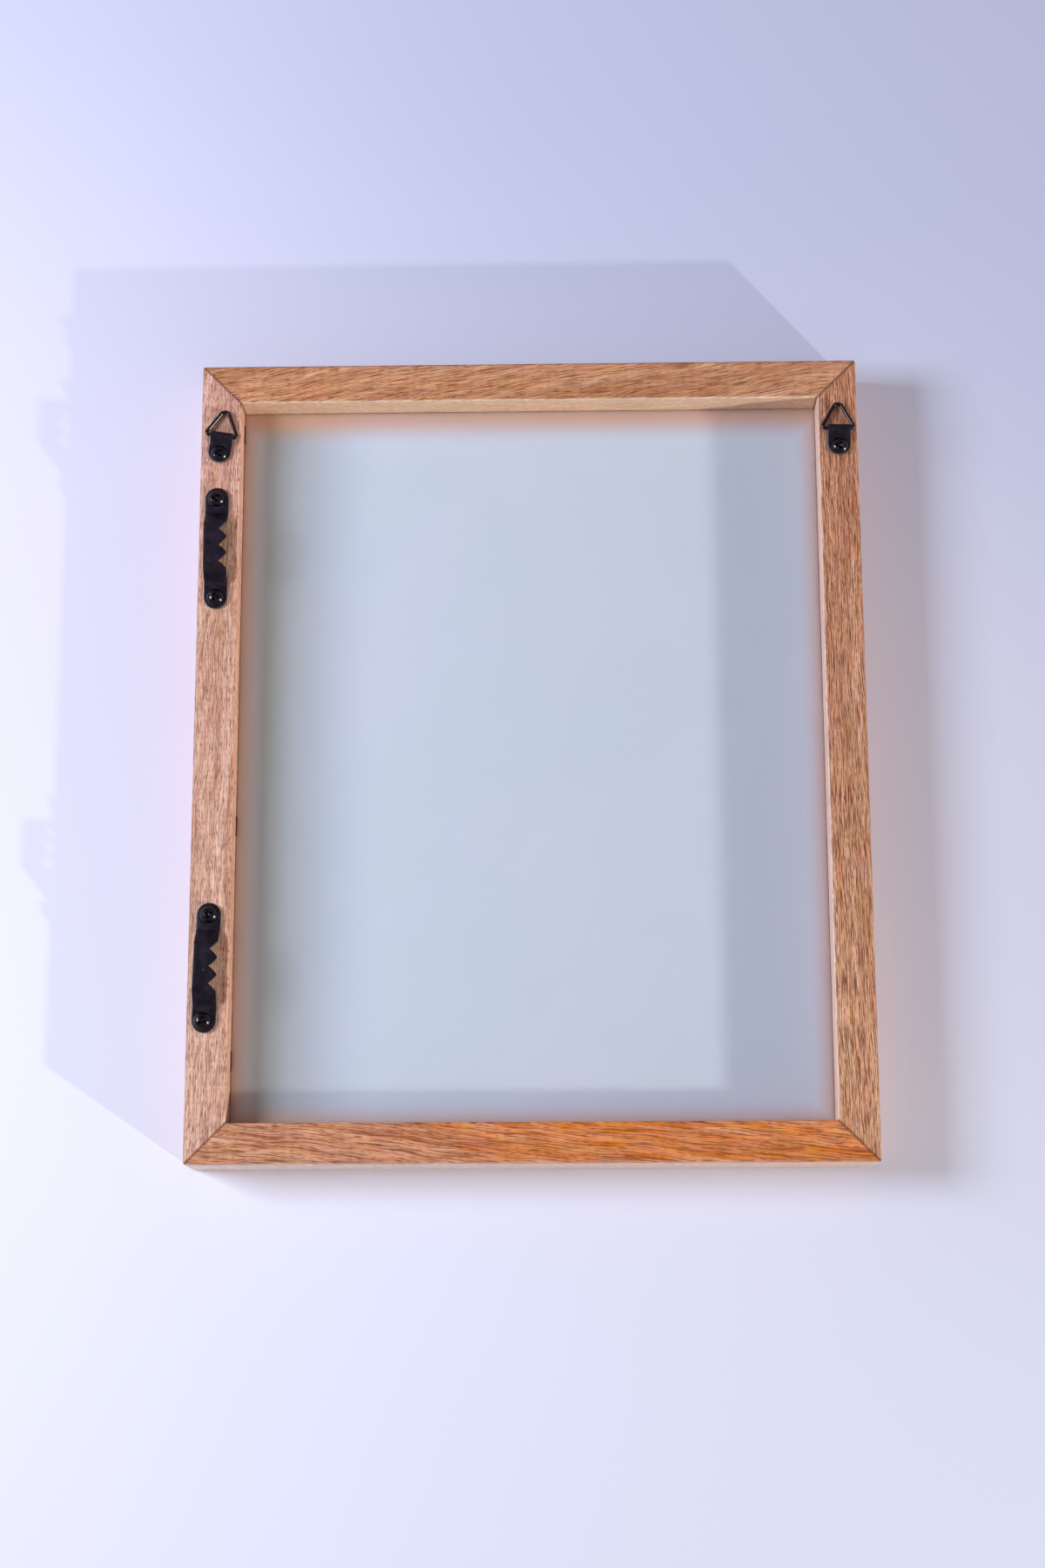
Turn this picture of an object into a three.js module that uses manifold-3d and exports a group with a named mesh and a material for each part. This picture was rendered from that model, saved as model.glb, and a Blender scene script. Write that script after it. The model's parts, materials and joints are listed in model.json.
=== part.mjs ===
// A small hardwood picture frame, seen from the back: four mitred rails round a frosted sheet,
// with two sawtooth hangers for hanging it sideways and two strap hangers with swinging rings.
// Millimetres. The front face lies on z = 0, +Z points out of the back, +Y to the top rail.
import * as THREE from "three";
import { mergeVertices } from "three/addons/utils/BufferGeometryUtils.js";
import Module from "manifold-3d";

const wasm = await Module();
wasm.setup();

// Driving sizes of the frame
const printWidth = 203.2; // the print that the frame is made for
const printHeight = 254;
const printClearance = 0.9; // on each side of the print, inside the rabbet
const railWidth = 14; // a rail's back face, from the outer edge to the rabbet
const frameDepth = 21;
const lipWidth = 5; // how far the front lip reaches in under the sheet
const lipThickness = 7;
const glueLine = 0.1; // between the two faces of a mitre
const outerCorner = 1.5; // radius of the frame's four upright corners
const backOuterEase = 0.9; // radii of the rails' eased edges
const backInnerEase = 0.6;
const frontOuterEase = 1;
const sightEase = 1.5;
const easeFacets = 4;

// Driving sizes of the sheet and of the staples that keep it in
const sheetThickness = 3;
const sheetEdgeGap = 0.1; // between the sheet and the rabbet wall
const sheetBedding = 0.2; // between the sheet and the lip
const sheetArris = 0.15;
const stapleCrown = 7; // length of the crown
const stapleWire = 0.45; // across the wire, in the plane of the staple
const stapleHeight = 0.75; // through the wire, along the frame's depth
const stapleLeg = 5.5; // how deep a leg is driven
const stapleSeat = 0.05; // between the crown and the wall
const stapleLift = 0.1; // between the crown and the sheet
const staplePlaces = {
  upper: { end: "top", fromEnd: 22.2 },
  middle: { end: "bottom", fromEnd: 117.7 },
  lower: { end: "bottom", fromEnd: 35.9 },
};

// Driving sizes of the corner pins
const pinRadius = 0.6;
const pinLength = 22;
const pinSink = 0.5; // how far a pin's head is set below the outer face
const lowPinHeight = 5.5; // the pin that runs through the top or bottom rail
const highPinHeight = 13.5; // the pin that runs through a side rail

// Driving sizes of the screws
const shankRadius = 1.25;
const shankLength = 12;
const shankPoint = 3.2;
const headRadius = 2.95;
const headHeight = 2.1;
const headRim = 0.45; // the upright edge under the dome
const recessSpan = 4.1; // across the cross recess
const recessFloor = 1.7;
const recessWing = 1; // the width of one slot
const recessDepth = 1.35;

// Driving sizes of the sawtooth hangers
const sawtoothLength = 44.4;
const sawtoothWidth = 8.15;
const sawtoothPlate = 1; // thickness of the plate
const sawtoothRise = 3.9; // the hanging gap under the bridge
const bridgeLength = 15.4; // between the upper ends of the ramps
const rampLength = 5;
const rampBend = 2; // radius at the middle of the plate
const notchPitch = 5.9;
const notchDepth = 2.8;
const notchCount = 3;
const toothLand = 0.35; // the flat at a tooth's tip
const sawtoothScrewInset = 4.05; // from a plate's end to the middle of its hole
const sawtoothHole = 1.95; // radius, with room for a screw beside its middle
const sawtoothPlaces = {
  upper: {
    end: "top",
    fromEnd: 68.3,
    outward: 0.55,
    turn: 0.4,
    screws: {
      top: { beside: -0.35, cross: 24 },
      bottom: { beside: -0.15, cross: 71 },
    },
  },
  lower: {
    end: "bottom",
    fromEnd: 66.5,
    outward: 0.42,
    turn: -1.5,
    screws: {
      top: { beside: -0.2, cross: 8 },
      bottom: { beside: -0.6, cross: 63 },
    },
  },
};

// Driving sizes of the strap hangers and their rings
const strapWidth = 7.9;
const strapPlate = 0.5;
const strapLayerGap = 0.1; // between the two layers of the folded strap
const strapScrewToEnd = 3;
const strapScrewToBar = 6.55;
const strapFall = 35; // degrees, the slope from the loop down to the screw
const strapBend = 1;
const ringWire = 1.3; // diameter
const ringBar = 11.8; // the ring's base, between its sharp corners
const ringHeight = 11; // from the bar to the sharp apex
const ringCornerBend = 0.9;
const ringApexBend = 1.6;
const ringPlay = 0.25; // between the wire and the loop
const ringJoint = 0.2; // where the ends of the wire meet, inside the loop
const ringRestGap = 0.3; // between the ring and the rail when it lies down
const strapPlaces = {
  left: { side: -1, fromEnd: 33.4, outward: 0.35, turn: -8.8, shift: -0.38, cross: 38 },
  right: { side: 1, fromEnd: 32.8, outward: 0.3, turn: -0.5, shift: -0.38, cross: 12 },
};

// Clearances and facet counts
const seat = 0.05; // under a plate on the rail, and under a screw's head on its plate
const screwFit = 0.15; // round a shank, in its hole
const pinFit = 0.15;
const stapleFit = 0.15;
const cutPast = 1; // how far a cutting tool reaches past the face that it cuts
const headFacets = 24;
const domeRings = 4;
const holeFacets = 12;
const wireSides = 10;
const wireSteps = 60;
const bendFacets = 6;
const endFacets = 10;
const mergeDistance = 1e-4;

// Sizes worked out from the driving sizes
const openingWidth = printWidth + 2 * printClearance;
const openingHeight = printHeight + 2 * printClearance;
const outerWidth = openingWidth + 2 * railWidth;
const outerHeight = openingHeight + 2 * railWidth;
const railCentreX = (outerWidth - railWidth) / 2;
const railCentreY = (outerHeight - railWidth) / 2;
const sheetFront = lipThickness + sheetBedding;
const sheetBack = sheetFront + sheetThickness;
const wireRadius = ringWire / 2;
const loopRadius = wireRadius + ringPlay + strapPlate / 2; // at the middle of the strap
const barHeight = strapPlate / 2 + loopRadius; // the ring's bar above the rail
const upperLayer = strapPlate + strapLayerGap; // underside of the strap's second layer
const apexCorner = Math.atan2(ringBar / 2, ringHeight);
const apexReach = ringHeight - ringApexBend / Math.sin(apexCorner) + ringApexBend;
const ringRestDrop = Math.asin((barHeight - wireRadius - ringRestGap) / apexReach);

// Finishes
const wood = new THREE.MeshStandardMaterial({ color: 0xc39478, roughness: 0.62, metalness: 0 });
const frosted = new THREE.MeshStandardMaterial({
  color: 0xb4b3ba,
  roughness: 0.75,
  metalness: 0,
  transparent: true,
  opacity: 0.85,
});
const blackPlate = new THREE.MeshStandardMaterial({ color: 0x24222a, roughness: 0.45, metalness: 0.6 });
const blackGloss = new THREE.MeshStandardMaterial({ color: 0x121114, roughness: 0.2, metalness: 0.7 });
const darkWire = new THREE.MeshStandardMaterial({ color: 0x3a2415, roughness: 0.5, metalness: 0.7 });
const paleSteel = new THREE.MeshStandardMaterial({ color: 0x8d8d90, roughness: 0.4, metalness: 0.9 });

// Solids and meshes

// A closed geometry as a solid that can be cut and joined.
function solid(geometry) {
  const bare = geometry.clone();
  bare.deleteAttribute("normal");
  bare.deleteAttribute("uv");
  const merged = mergeVertices(bare, mergeDistance);
  const mesh = new wasm.Mesh({
    numProp: 3,
    vertProperties: merged.attributes.position.array,
    triVerts: new Uint32Array(merged.index.array),
  });
  return new wasm.Manifold(mesh);
}

// A solid as a geometry that a mesh can show.
function geometryOf(body) {
  const mesh = body.getMesh();
  const geometry = new THREE.BufferGeometry();
  geometry.setAttribute("position", new THREE.BufferAttribute(mesh.vertProperties, 3));
  geometry.setIndex(new THREE.BufferAttribute(mesh.triVerts, 1));
  geometry.computeVertexNormals();
  return geometry;
}

function namedMesh(name, body, material) {
  const mesh = new THREE.Mesh(geometryOf(body), material);
  mesh.name = name;
  return mesh;
}

// An upright prism over a shape, from one height to another.
function prism(shape, low, high, curveSegments = bendFacets) {
  const geometry = new THREE.ExtrudeGeometry(shape, {
    depth: high - low,
    bevelEnabled: false,
    curveSegments,
  });
  return geometry.translate(0, 0, low);
}

// A side profile, drawn as (along, height), drawn out to both sides of the middle.
function crossways(profile, width) {
  const geometry = prism(profile, -width / 2, width / 2);
  const turn = new THREE.Matrix4().set(0, 0, 1, 0, 1, 0, 0, 0, 0, 1, 0, 0, 0, 0, 0, 1);
  return geometry.applyMatrix4(turn);
}

// A round bar along Z from one height to another.
function upright(radius, low, high, facets) {
  const geometry = new THREE.CylinderGeometry(radius, radius, high - low, facets);
  return geometry.rotateX(Math.PI / 2).translate(0, 0, (low + high) / 2);
}

// Paths and strips

// Draws a path from point to point, with an arc of its own radius at each inner corner.
function bentPath(points, radii) {
  const path = new THREE.Path();
  path.moveTo(points[0].x, points[0].y);
  for (let i = 1; i < points.length - 1; i++) {
    addBend(path, points[i - 1], points[i], points[i + 1], radii[i - 1]);
  }
  const last = points[points.length - 1];
  path.lineTo(last.x, last.y);
  return path;
}

function addBend(path, before, corner, after, radius) {
  const back = before.clone().sub(corner).normalize();
  const ahead = after.clone().sub(corner).normalize();
  const half = Math.acos(back.dot(ahead)) / 2;
  const start = corner.clone().addScaledVector(back, radius / Math.tan(half));
  const middle = back.clone().add(ahead).normalize();
  const centre = corner.clone().addScaledVector(middle, radius / Math.sin(half));
  const end = corner.clone().addScaledVector(ahead, radius / Math.tan(half));
  const clockwise = back.cross(ahead) > 0;
  path.lineTo(start.x, start.y);
  path.absarc(
    centre.x,
    centre.y,
    radius,
    start.clone().sub(centre).angle(),
    end.clone().sub(centre).angle(),
    clockwise,
  );
}

// The points along a path, each of them once.
function pathPoints(path, arcFacets) {
  const points = [];
  for (const point of path.getPoints(arcFacets / 2)) {
    const last = points[points.length - 1];
    if (!last || last.distanceTo(point) > mergeDistance) points.push(point);
  }
  return points;
}

// The outline of a strip of even thickness whose middle follows the points.
function stripOutline(points, thickness) {
  const side = (offset) =>
    points.map((point, i) => {
      const before = i > 0 ? point.clone().sub(points[i - 1]).normalize() : null;
      const after = i < points.length - 1 ? points[i + 1].clone().sub(point).normalize() : null;
      const first = before ?? after;
      const second = after ?? before;
      const across = new THREE.Vector2(-first.y - second.y, first.x + second.x);
      return point.clone().addScaledVector(across, offset / (1 + first.dot(second)));
    });
  return new THREE.Shape([...side(-thickness / 2), ...side(thickness / 2).reverse()]);
}

// A flat path as a curve in space, for a wire that is bent along it.
class WirePath extends THREE.Curve {
  constructor(path) {
    super();
    this.path = path;
  }

  getPoint(t, target = new THREE.Vector3()) {
    const { x, y } = this.path.getPoint(t);
    return target.set(x, y, 0);
  }
}

// Rails

// The rail's section, drawn as (inward from the outer face, height above the front face).
function railSection() {
  const point = (inward, height) => new THREE.Vector2(inward, height);
  const front = railWidth + lipWidth;
  const start = point(railWidth / 2, 0);
  const corners = [
    start,
    point(front, 0),
    point(front, lipThickness),
    point(railWidth, lipThickness),
    point(railWidth, frameDepth),
    point(0, frameDepth),
    point(0, 0),
    start,
  ];
  const eases = [sightEase, 0, 0, backInnerEase, backOuterEase, frontOuterEase];
  const path = new THREE.Path();
  path.moveTo(start.x, start.y);
  for (let i = 1; i < corners.length - 1; i++) {
    if (eases[i - 1] > 0) addBend(path, corners[i - 1], corners[i], corners[i + 1], eases[i - 1]);
    else path.lineTo(corners[i].x, corners[i].y);
  }
  return new THREE.Shape(pathPoints(path, easeFacets));
}

// A rail along X with its outer face on y = 0, its inside towards +Y and both ends mitred.
function railBody(length) {
  const bar = prism(railSection(), 0, 1);
  const corner = bar.attributes.position;
  const setback = glueLine / Math.SQRT2;
  for (let i = 0; i < corner.count; i++) {
    const inward = corner.getX(i);
    const height = corner.getY(i);
    const end = corner.getZ(i) > 0.5 ? 1 : -1;
    corner.setXYZ(i, end * (length / 2 - inward - setback), inward, height);
  }
  return solid(bar);
}

// What is cut off outside one of the frame's rounded upright corners.
function cornerTrim(signX, signY) {
  const x = outerWidth / 2;
  const y = outerHeight / 2;
  const shape = new THREE.Shape();
  shape.moveTo(x, y - outerCorner);
  shape.lineTo(x + cutPast, y - outerCorner);
  shape.lineTo(x + cutPast, y + cutPast);
  shape.lineTo(x - outerCorner, y + cutPast);
  shape.lineTo(x - outerCorner, y);
  shape.absarc(x - outerCorner, y - outerCorner, outerCorner, Math.PI / 2, 0, true);
  const geometry = prism(shape, -cutPast, frameDepth + cutPast, easeFacets);
  if (signX * signY > 0) return geometry.rotateZ(signX > 0 ? 0 : Math.PI);
  const mirrored = geometry.scale(signX, signY, 1);
  return flipped(mirrored);
}

// A mirrored geometry with its faces turned out again.
function flipped(geometry) {
  const loose = geometry.index ? geometry.toNonIndexed() : geometry;
  const place = loose.attributes.position.array;
  for (let i = 0; i < place.length; i += 9) {
    for (let k = 0; k < 3; k++) {
      [place[i + 3 + k], place[i + 6 + k]] = [place[i + 6 + k], place[i + 3 + k]];
    }
  }
  return loose;
}

const railPlaces = {
  bottom: { length: outerWidth, turn: 0, x: 0, y: -outerHeight / 2 },
  right: { length: outerHeight, turn: Math.PI / 2, x: outerWidth / 2, y: 0 },
  top: { length: outerWidth, turn: Math.PI, x: 0, y: outerHeight / 2 },
  left: { length: outerHeight, turn: -Math.PI / 2, x: -outerWidth / 2, y: 0 },
};

// One rail, cut by tools that are given in the frame's own coordinates.
function rail(name, tools) {
  const { length, turn, x, y } = railPlaces[name];
  const place = new THREE.Group();
  place.position.set(x, y, 0);
  place.rotation.z = turn;
  place.updateMatrixWorld(true);
  const toRail = place.matrixWorld.clone().invert();
  const body = tools.reduce(
    (left, tool) => left.subtract(solid(tool.clone().applyMatrix4(toRail))),
    railBody(length),
  );
  place.add(namedMesh(`${name}_rail`, body, wood));
  return place;
}

// Corner pins

// Each corner has one pin through the top or bottom rail and one through the side rail.
function cornerPins() {
  const pins = [];
  for (const [signY, level] of [[1, "top"], [-1, "bottom"]]) {
    for (const [signX, side] of [[-1, "left"], [1, "right"]]) {
      pins.push({
        name: `corner_pin_${level}_${side}_upright`,
        mouth: new THREE.Vector3(signX * railCentreX, (signY * outerHeight) / 2, lowPinHeight),
        inward: new THREE.Vector3(0, -signY, 0),
      });
      pins.push({
        name: `corner_pin_${level}_${side}_cross`,
        mouth: new THREE.Vector3((signX * outerWidth) / 2, signY * railCentreY, highPinHeight),
        inward: new THREE.Vector3(-signX, 0, 0),
      });
    }
  }
  return pins;
}

// A round bar that starts at the pin's mouth and runs in from one depth to another.
function alongPin(pin, radius, from, to) {
  const bar = upright(radius, from, to, holeFacets);
  const turn = new THREE.Quaternion().setFromUnitVectors(new THREE.Vector3(0, 0, 1), pin.inward);
  return bar.applyQuaternion(turn).translate(pin.mouth.x, pin.mouth.y, pin.mouth.z);
}

function pinMesh(pin) {
  const bar = alongPin(pin, pinRadius, pinSink, pinSink + pinLength);
  return namedMesh(pin.name, solid(bar), paleSteel);
}

function pinHole(pin) {
  return alongPin(pin, pinRadius + pinFit, -cutPast, pinSink + pinLength + pinFit);
}

// Sheet and staples

function sheetMesh() {
  const x = openingWidth / 2 - sheetEdgeGap - sheetArris;
  const y = openingHeight / 2 - sheetEdgeGap - sheetArris;
  const shape = new THREE.Shape([
    new THREE.Vector2(-x, -y),
    new THREE.Vector2(x, -y),
    new THREE.Vector2(x, y),
    new THREE.Vector2(-x, y),
  ]);
  const geometry = new THREE.ExtrudeGeometry(shape, {
    depth: sheetThickness - 2 * sheetArris,
    bevelSize: sheetArris,
    bevelThickness: sheetArris,
    bevelSegments: 1,
  });
  const mesh = namedMesh("frosted_sheet", solid(geometry), frosted);
  mesh.position.z = sheetFront + sheetArris;
  return mesh;
}

// How far up the frame a place lies that is measured from one end.
function heightFrom(place) {
  return place.end === "top" ? outerHeight / 2 - place.fromEnd : place.fromEnd - outerHeight / 2;
}

// Seen from the back: the crown stands off the wall on +X and the legs run into the wall.
function stapleShape() {
  const half = stapleCrown / 2;
  const crownBack = stapleSeat;
  const crownFront = stapleSeat + stapleWire;
  const legSlant = stapleWire / 2;
  const leg = (sign) => [
    new THREE.Vector2(crownBack, sign * (half - stapleWire)),
    new THREE.Vector2(legSlant - stapleLeg, sign * (half - stapleWire)),
    new THREE.Vector2(-stapleLeg, sign * half),
  ];
  const corner = new THREE.Vector2(crownFront, half);
  const foot = new THREE.Vector2(crownFront, -half);
  return new THREE.Shape([foot, corner, ...leg(1).reverse(), ...leg(-1)]);
}

function stapleMesh(name, place) {
  const bottom = sheetBack + stapleLift;
  const mesh = namedMesh(name, solid(prism(stapleShape(), 0, stapleHeight)), darkWire);
  mesh.position.set(-openingWidth / 2, heightFrom(place), bottom);
  return mesh;
}

// The two slots that a staple's legs have cut into the left rail.
function stapleSlots(place) {
  const depth = stapleLeg + stapleFit + cutPast;
  const legMiddle = (stapleCrown - stapleWire) / 2;
  return [-1, 1].map((sign) => {
    const wide = stapleWire + 2 * stapleFit;
    const slot = new THREE.BoxGeometry(depth, wide, stapleHeight + 2 * stapleFit);
    const x = -openingWidth / 2 + cutPast - depth / 2;
    const y = heightFrom(place) + sign * legMiddle;
    return slot.translate(x, y, sheetBack + stapleLift + stapleHeight / 2);
  });
}

// Screws

// The screw stands on z = 0 with its head above and its shank below.
function screwBody(cross) {
  const dome = (headRadius ** 2 + (headHeight - headRim) ** 2) / (2 * (headHeight - headRim));
  const profile = [
    new THREE.Vector2(0, -shankLength),
    new THREE.Vector2(shankRadius, shankPoint - shankLength),
    new THREE.Vector2(shankRadius, 0),
    new THREE.Vector2(headRadius, 0),
  ];
  for (let i = 0; i < domeRings; i++) {
    const r = headRadius * Math.cos((i / domeRings) * (Math.PI / 2));
    profile.push(new THREE.Vector2(r, headHeight - dome + Math.sqrt(dome ** 2 - r ** 2)));
  }
  profile.push(new THREE.Vector2(0, headHeight));
  const turned = new THREE.LatheGeometry(profile, headFacets).rotateX(Math.PI / 2);
  const recess = solid(crossWing(cross)).add(solid(crossWing(cross + 90)));
  return solid(turned).subtract(recess);
}

// One slot of the cross recess, narrower at its floor than at its mouth.
function crossWing(angle) {
  const floor = headHeight - recessDepth;
  const top = headHeight + cutPast;
  const grow = ((recessSpan - recessFloor) / 2) * ((recessDepth + cutPast) / recessDepth);
  const wing = new THREE.Shape([
    new THREE.Vector2(-recessFloor / 2, floor),
    new THREE.Vector2(recessFloor / 2, floor),
    new THREE.Vector2(recessFloor / 2 + grow, top),
    new THREE.Vector2(-recessFloor / 2 - grow, top),
  ]);
  return crossways(wing, recessWing).rotateZ(THREE.MathUtils.degToRad(angle));
}

// The hole for a shank that stands at the group's own z = 0.
function shankHole() {
  return upright(shankRadius + screwFit, -shankLength - screwFit, cutPast, holeFacets);
}

// Sawtooth hangers

// The plate's side view: flat ends, ramps up and a level bridge.
function sawtoothSide() {
  const low = sawtoothPlate / 2;
  const high = low + sawtoothRise;
  const foot = bridgeLength / 2 + rampLength;
  const end = sawtoothLength / 2 + cutPast;
  const points = [
    new THREE.Vector2(-end, low),
    new THREE.Vector2(-foot, low),
    new THREE.Vector2(-bridgeLength / 2, high),
    new THREE.Vector2(bridgeLength / 2, high),
    new THREE.Vector2(foot, low),
    new THREE.Vector2(end, low),
  ];
  const middle = bentPath(points, [rampBend, rampBend, rampBend, rampBend]);
  return stripOutline(pathPoints(middle, bendFacets), sawtoothPlate);
}

// The plate's outline from above, with round ends and a row of notches on the +X side.
function sawtoothPlan() {
  const half = sawtoothWidth / 2;
  const roundCentre = sawtoothLength / 2 - half;
  const notchHalf = (notchPitch - toothLand) / 2;
  const plan = new THREE.Shape();
  plan.moveTo(half, -roundCentre);
  for (let i = 0; i < notchCount; i++) {
    const middle = (i - (notchCount - 1) / 2) * notchPitch;
    plan.lineTo(half, middle - notchHalf);
    plan.lineTo(half - notchDepth, middle);
    plan.lineTo(half, middle + notchHalf);
  }
  plan.lineTo(half, roundCentre);
  plan.absarc(0, roundCentre, half, 0, Math.PI, false);
  plan.lineTo(-half, -roundCentre);
  plan.absarc(0, -roundCentre, half, Math.PI, 2 * Math.PI, false);
  return plan;
}

const sawtoothScrewReach = sawtoothLength / 2 - sawtoothScrewInset;

function sawtoothBody() {
  const side = solid(crossways(sawtoothSide(), sawtoothWidth + 2 * cutPast));
  const top = sawtoothRise + sawtoothPlate + cutPast;
  let plate = side.intersect(solid(prism(sawtoothPlan(), -cutPast, top, endFacets)));
  for (const sign of [-1, 1]) {
    const hole = upright(sawtoothHole, -cutPast, sawtoothPlate + cutPast, holeFacets);
    plate = plate.subtract(solid(hole.translate(0, sign * sawtoothScrewReach, 0)));
  }
  return plate;
}

// The group that holds a sawtooth hanger, standing on the back of the left rail.
function sawtoothGroup(place) {
  const group = new THREE.Group();
  group.position.set(-railCentreX - place.outward, heightFrom(place), frameDepth + seat);
  group.rotation.z = THREE.MathUtils.degToRad(place.turn);
  return group;
}

// Where a hanger's screws stand, in the hanger's own coordinates.
function sawtoothScrews(place) {
  return Object.entries(place.screws).map(([end, { beside, cross }]) => {
    const along = end === "top" ? sawtoothScrewReach : -sawtoothScrewReach;
    return { end, cross, at: new THREE.Vector3(beside, along, sawtoothPlate + seat) };
  });
}

function sawtoothHanger(name, place) {
  const group = sawtoothGroup(place);
  group.add(namedMesh(`sawtooth_hanger_${name}`, sawtoothBody(), blackPlate));
  for (const { end, cross, at } of sawtoothScrews(place)) {
    const screw = namedMesh(`sawtooth_screw_${name}_${end}`, screwBody(cross), blackGloss);
    screw.position.copy(at);
    group.add(screw);
  }
  return group;
}

// A tool given in a group's coordinates, moved into the frame's.
function placedIn(group, tool) {
  group.updateMatrixWorld(true);
  return tool.applyMatrix4(group.matrixWorld);
}

function sawtoothPilots(place) {
  return sawtoothScrews(place).map(({ at }) => {
    return placedIn(sawtoothGroup(place), shankHole().translate(at.x, at.y, at.z));
  });
}

// Strap hangers and rings

// The strap's side view: out along the rail, round the ring's bar and back on top of itself.
function strapSide() {
  const fall = THREE.MathUtils.degToRad(strapFall);
  const low = strapPlate / 2;
  const high = upperLayer + strapPlate / 2;
  const end = -strapScrewToEnd - cutPast;
  const leaveY = strapScrewToBar - loopRadius * Math.sin(fall);
  const leaveZ = barHeight + loopRadius * Math.cos(fall);
  const kneeY = leaveY - (leaveZ - high) / Math.tan(fall);
  const path = new THREE.Path();
  path.moveTo(end, low);
  path.lineTo(strapScrewToBar, low);
  path.absarc(strapScrewToBar, barHeight, loopRadius, -Math.PI / 2, Math.PI / 2 + fall, false);
  const leave = new THREE.Vector2(leaveY, leaveZ);
  addBend(path, leave, new THREE.Vector2(kneeY, high), new THREE.Vector2(end, high), strapBend);
  path.lineTo(end, high);
  return stripOutline(pathPoints(path, 2 * bendFacets), strapPlate);
}

// The strap's outline from above, round at the screw and square at the loop.
function strapPlan() {
  const half = strapWidth / 2;
  const roundCentre = half - strapScrewToEnd;
  const past = strapScrewToBar + loopRadius + strapPlate + cutPast;
  const plan = new THREE.Shape();
  plan.moveTo(half, roundCentre);
  plan.lineTo(half, past);
  plan.lineTo(-half, past);
  plan.lineTo(-half, roundCentre);
  plan.absarc(0, roundCentre, half, Math.PI, 2 * Math.PI, false);
  return plan;
}

function strapBody() {
  const side = solid(crossways(strapSide(), strapWidth + 2 * cutPast));
  const top = barHeight + loopRadius + strapPlate + cutPast;
  const plate = side.intersect(solid(prism(strapPlan(), -cutPast, top, endFacets)));
  return plate.subtract(solid(upright(shankRadius + screwFit, -cutPast, top, holeFacets)));
}

// The ring lies in the XY plane, with its bar along X through the origin and its apex on +Y.
function ringBody() {
  const half = ringBar / 2;
  const point = (x, y) => new THREE.Vector2(x, y);
  const corners = [
    point(ringJoint / 2, 0),
    point(half, 0),
    point(0, ringHeight),
    point(-half, 0),
    point(-ringJoint / 2, 0),
  ];
  const middle = new WirePath(bentPath(corners, [ringCornerBend, ringApexBend, ringCornerBend]));
  const section = new THREE.Shape();
  section.absarc(0, 0, wireRadius, 0, 2 * Math.PI, false);
  const wire = new THREE.ExtrudeGeometry(section, {
    extrudePath: middle,
    steps: wireSteps,
    curveSegments: wireSides / 2,
  });
  return solid(wire);
}

// The group that holds a strap hanger, with the screw's axis through its origin.
function strapGroup(place) {
  const group = new THREE.Group();
  const x = place.side * (railCentreX + place.outward);
  group.position.set(x, outerHeight / 2 - place.fromEnd, frameDepth + seat);
  group.rotation.z = THREE.MathUtils.degToRad(place.turn);
  return group;
}

const strapScrewSeat = upperLayer + strapPlate + seat;

function strapHanger(name, place) {
  const group = strapGroup(place);
  group.add(namedMesh(`strap_hanger_${name}`, strapBody(), blackPlate));
  const ring = namedMesh(`hanging_ring_${name}`, ringBody(), blackGloss);
  ring.position.set(place.shift, strapScrewToBar, barHeight);
  ring.rotation.x = -ringRestDrop;
  group.add(ring);
  const screw = namedMesh(`strap_screw_${name}`, screwBody(place.cross), blackGloss);
  screw.position.z = strapScrewSeat;
  group.add(screw);
  return group;
}

function strapPilot(place) {
  return placedIn(strapGroup(place), shankHole().translate(0, 0, strapScrewSeat));
}

// The whole frame

const pins = cornerPins();
const trims = [-1, 1].flatMap((x) => [-1, 1].map((y) => cornerTrim(x, y)));
const pinHoles = pins.map(pinHole);
const sideTools = {
  left: [
    ...Object.values(sawtoothPlaces).flatMap(sawtoothPilots),
    ...Object.values(staplePlaces).flatMap(stapleSlots),
    strapPilot(strapPlaces.left),
  ],
  right: [strapPilot(strapPlaces.right)],
  top: [],
  bottom: [],
};

const group = new THREE.Group();
for (const [name, tools] of Object.entries(sideTools)) {
  group.add(rail(name, [...trims, ...pinHoles, ...tools]));
}
for (const pin of pins) group.add(pinMesh(pin));
group.add(sheetMesh());
for (const [name, place] of Object.entries(staplePlaces)) {
  group.add(stapleMesh(`sheet_staple_${name}`, place));
}
for (const [name, place] of Object.entries(sawtoothPlaces)) {
  group.add(sawtoothHanger(name, place));
}
for (const [name, place] of Object.entries(strapPlaces)) {
  group.add(strapHanger(name, place));
}

export default group;
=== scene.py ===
"""Dresses a hanging wooden frame, lying face down, and sets it in a plain studio.

Sizes are in millimetres until a mesh is made, and a mesh is in metres. +Z points out of the
frame's back, +Y to its top rail and +X to the right as the back is seen.
"""

import json
import logging
import math
from dataclasses import asdict, astuple, dataclass, field
from enum import Enum
from typing import Any, Iterable, Sequence

import bmesh
import bpy
from mathutils import Matrix, Vector


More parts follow.
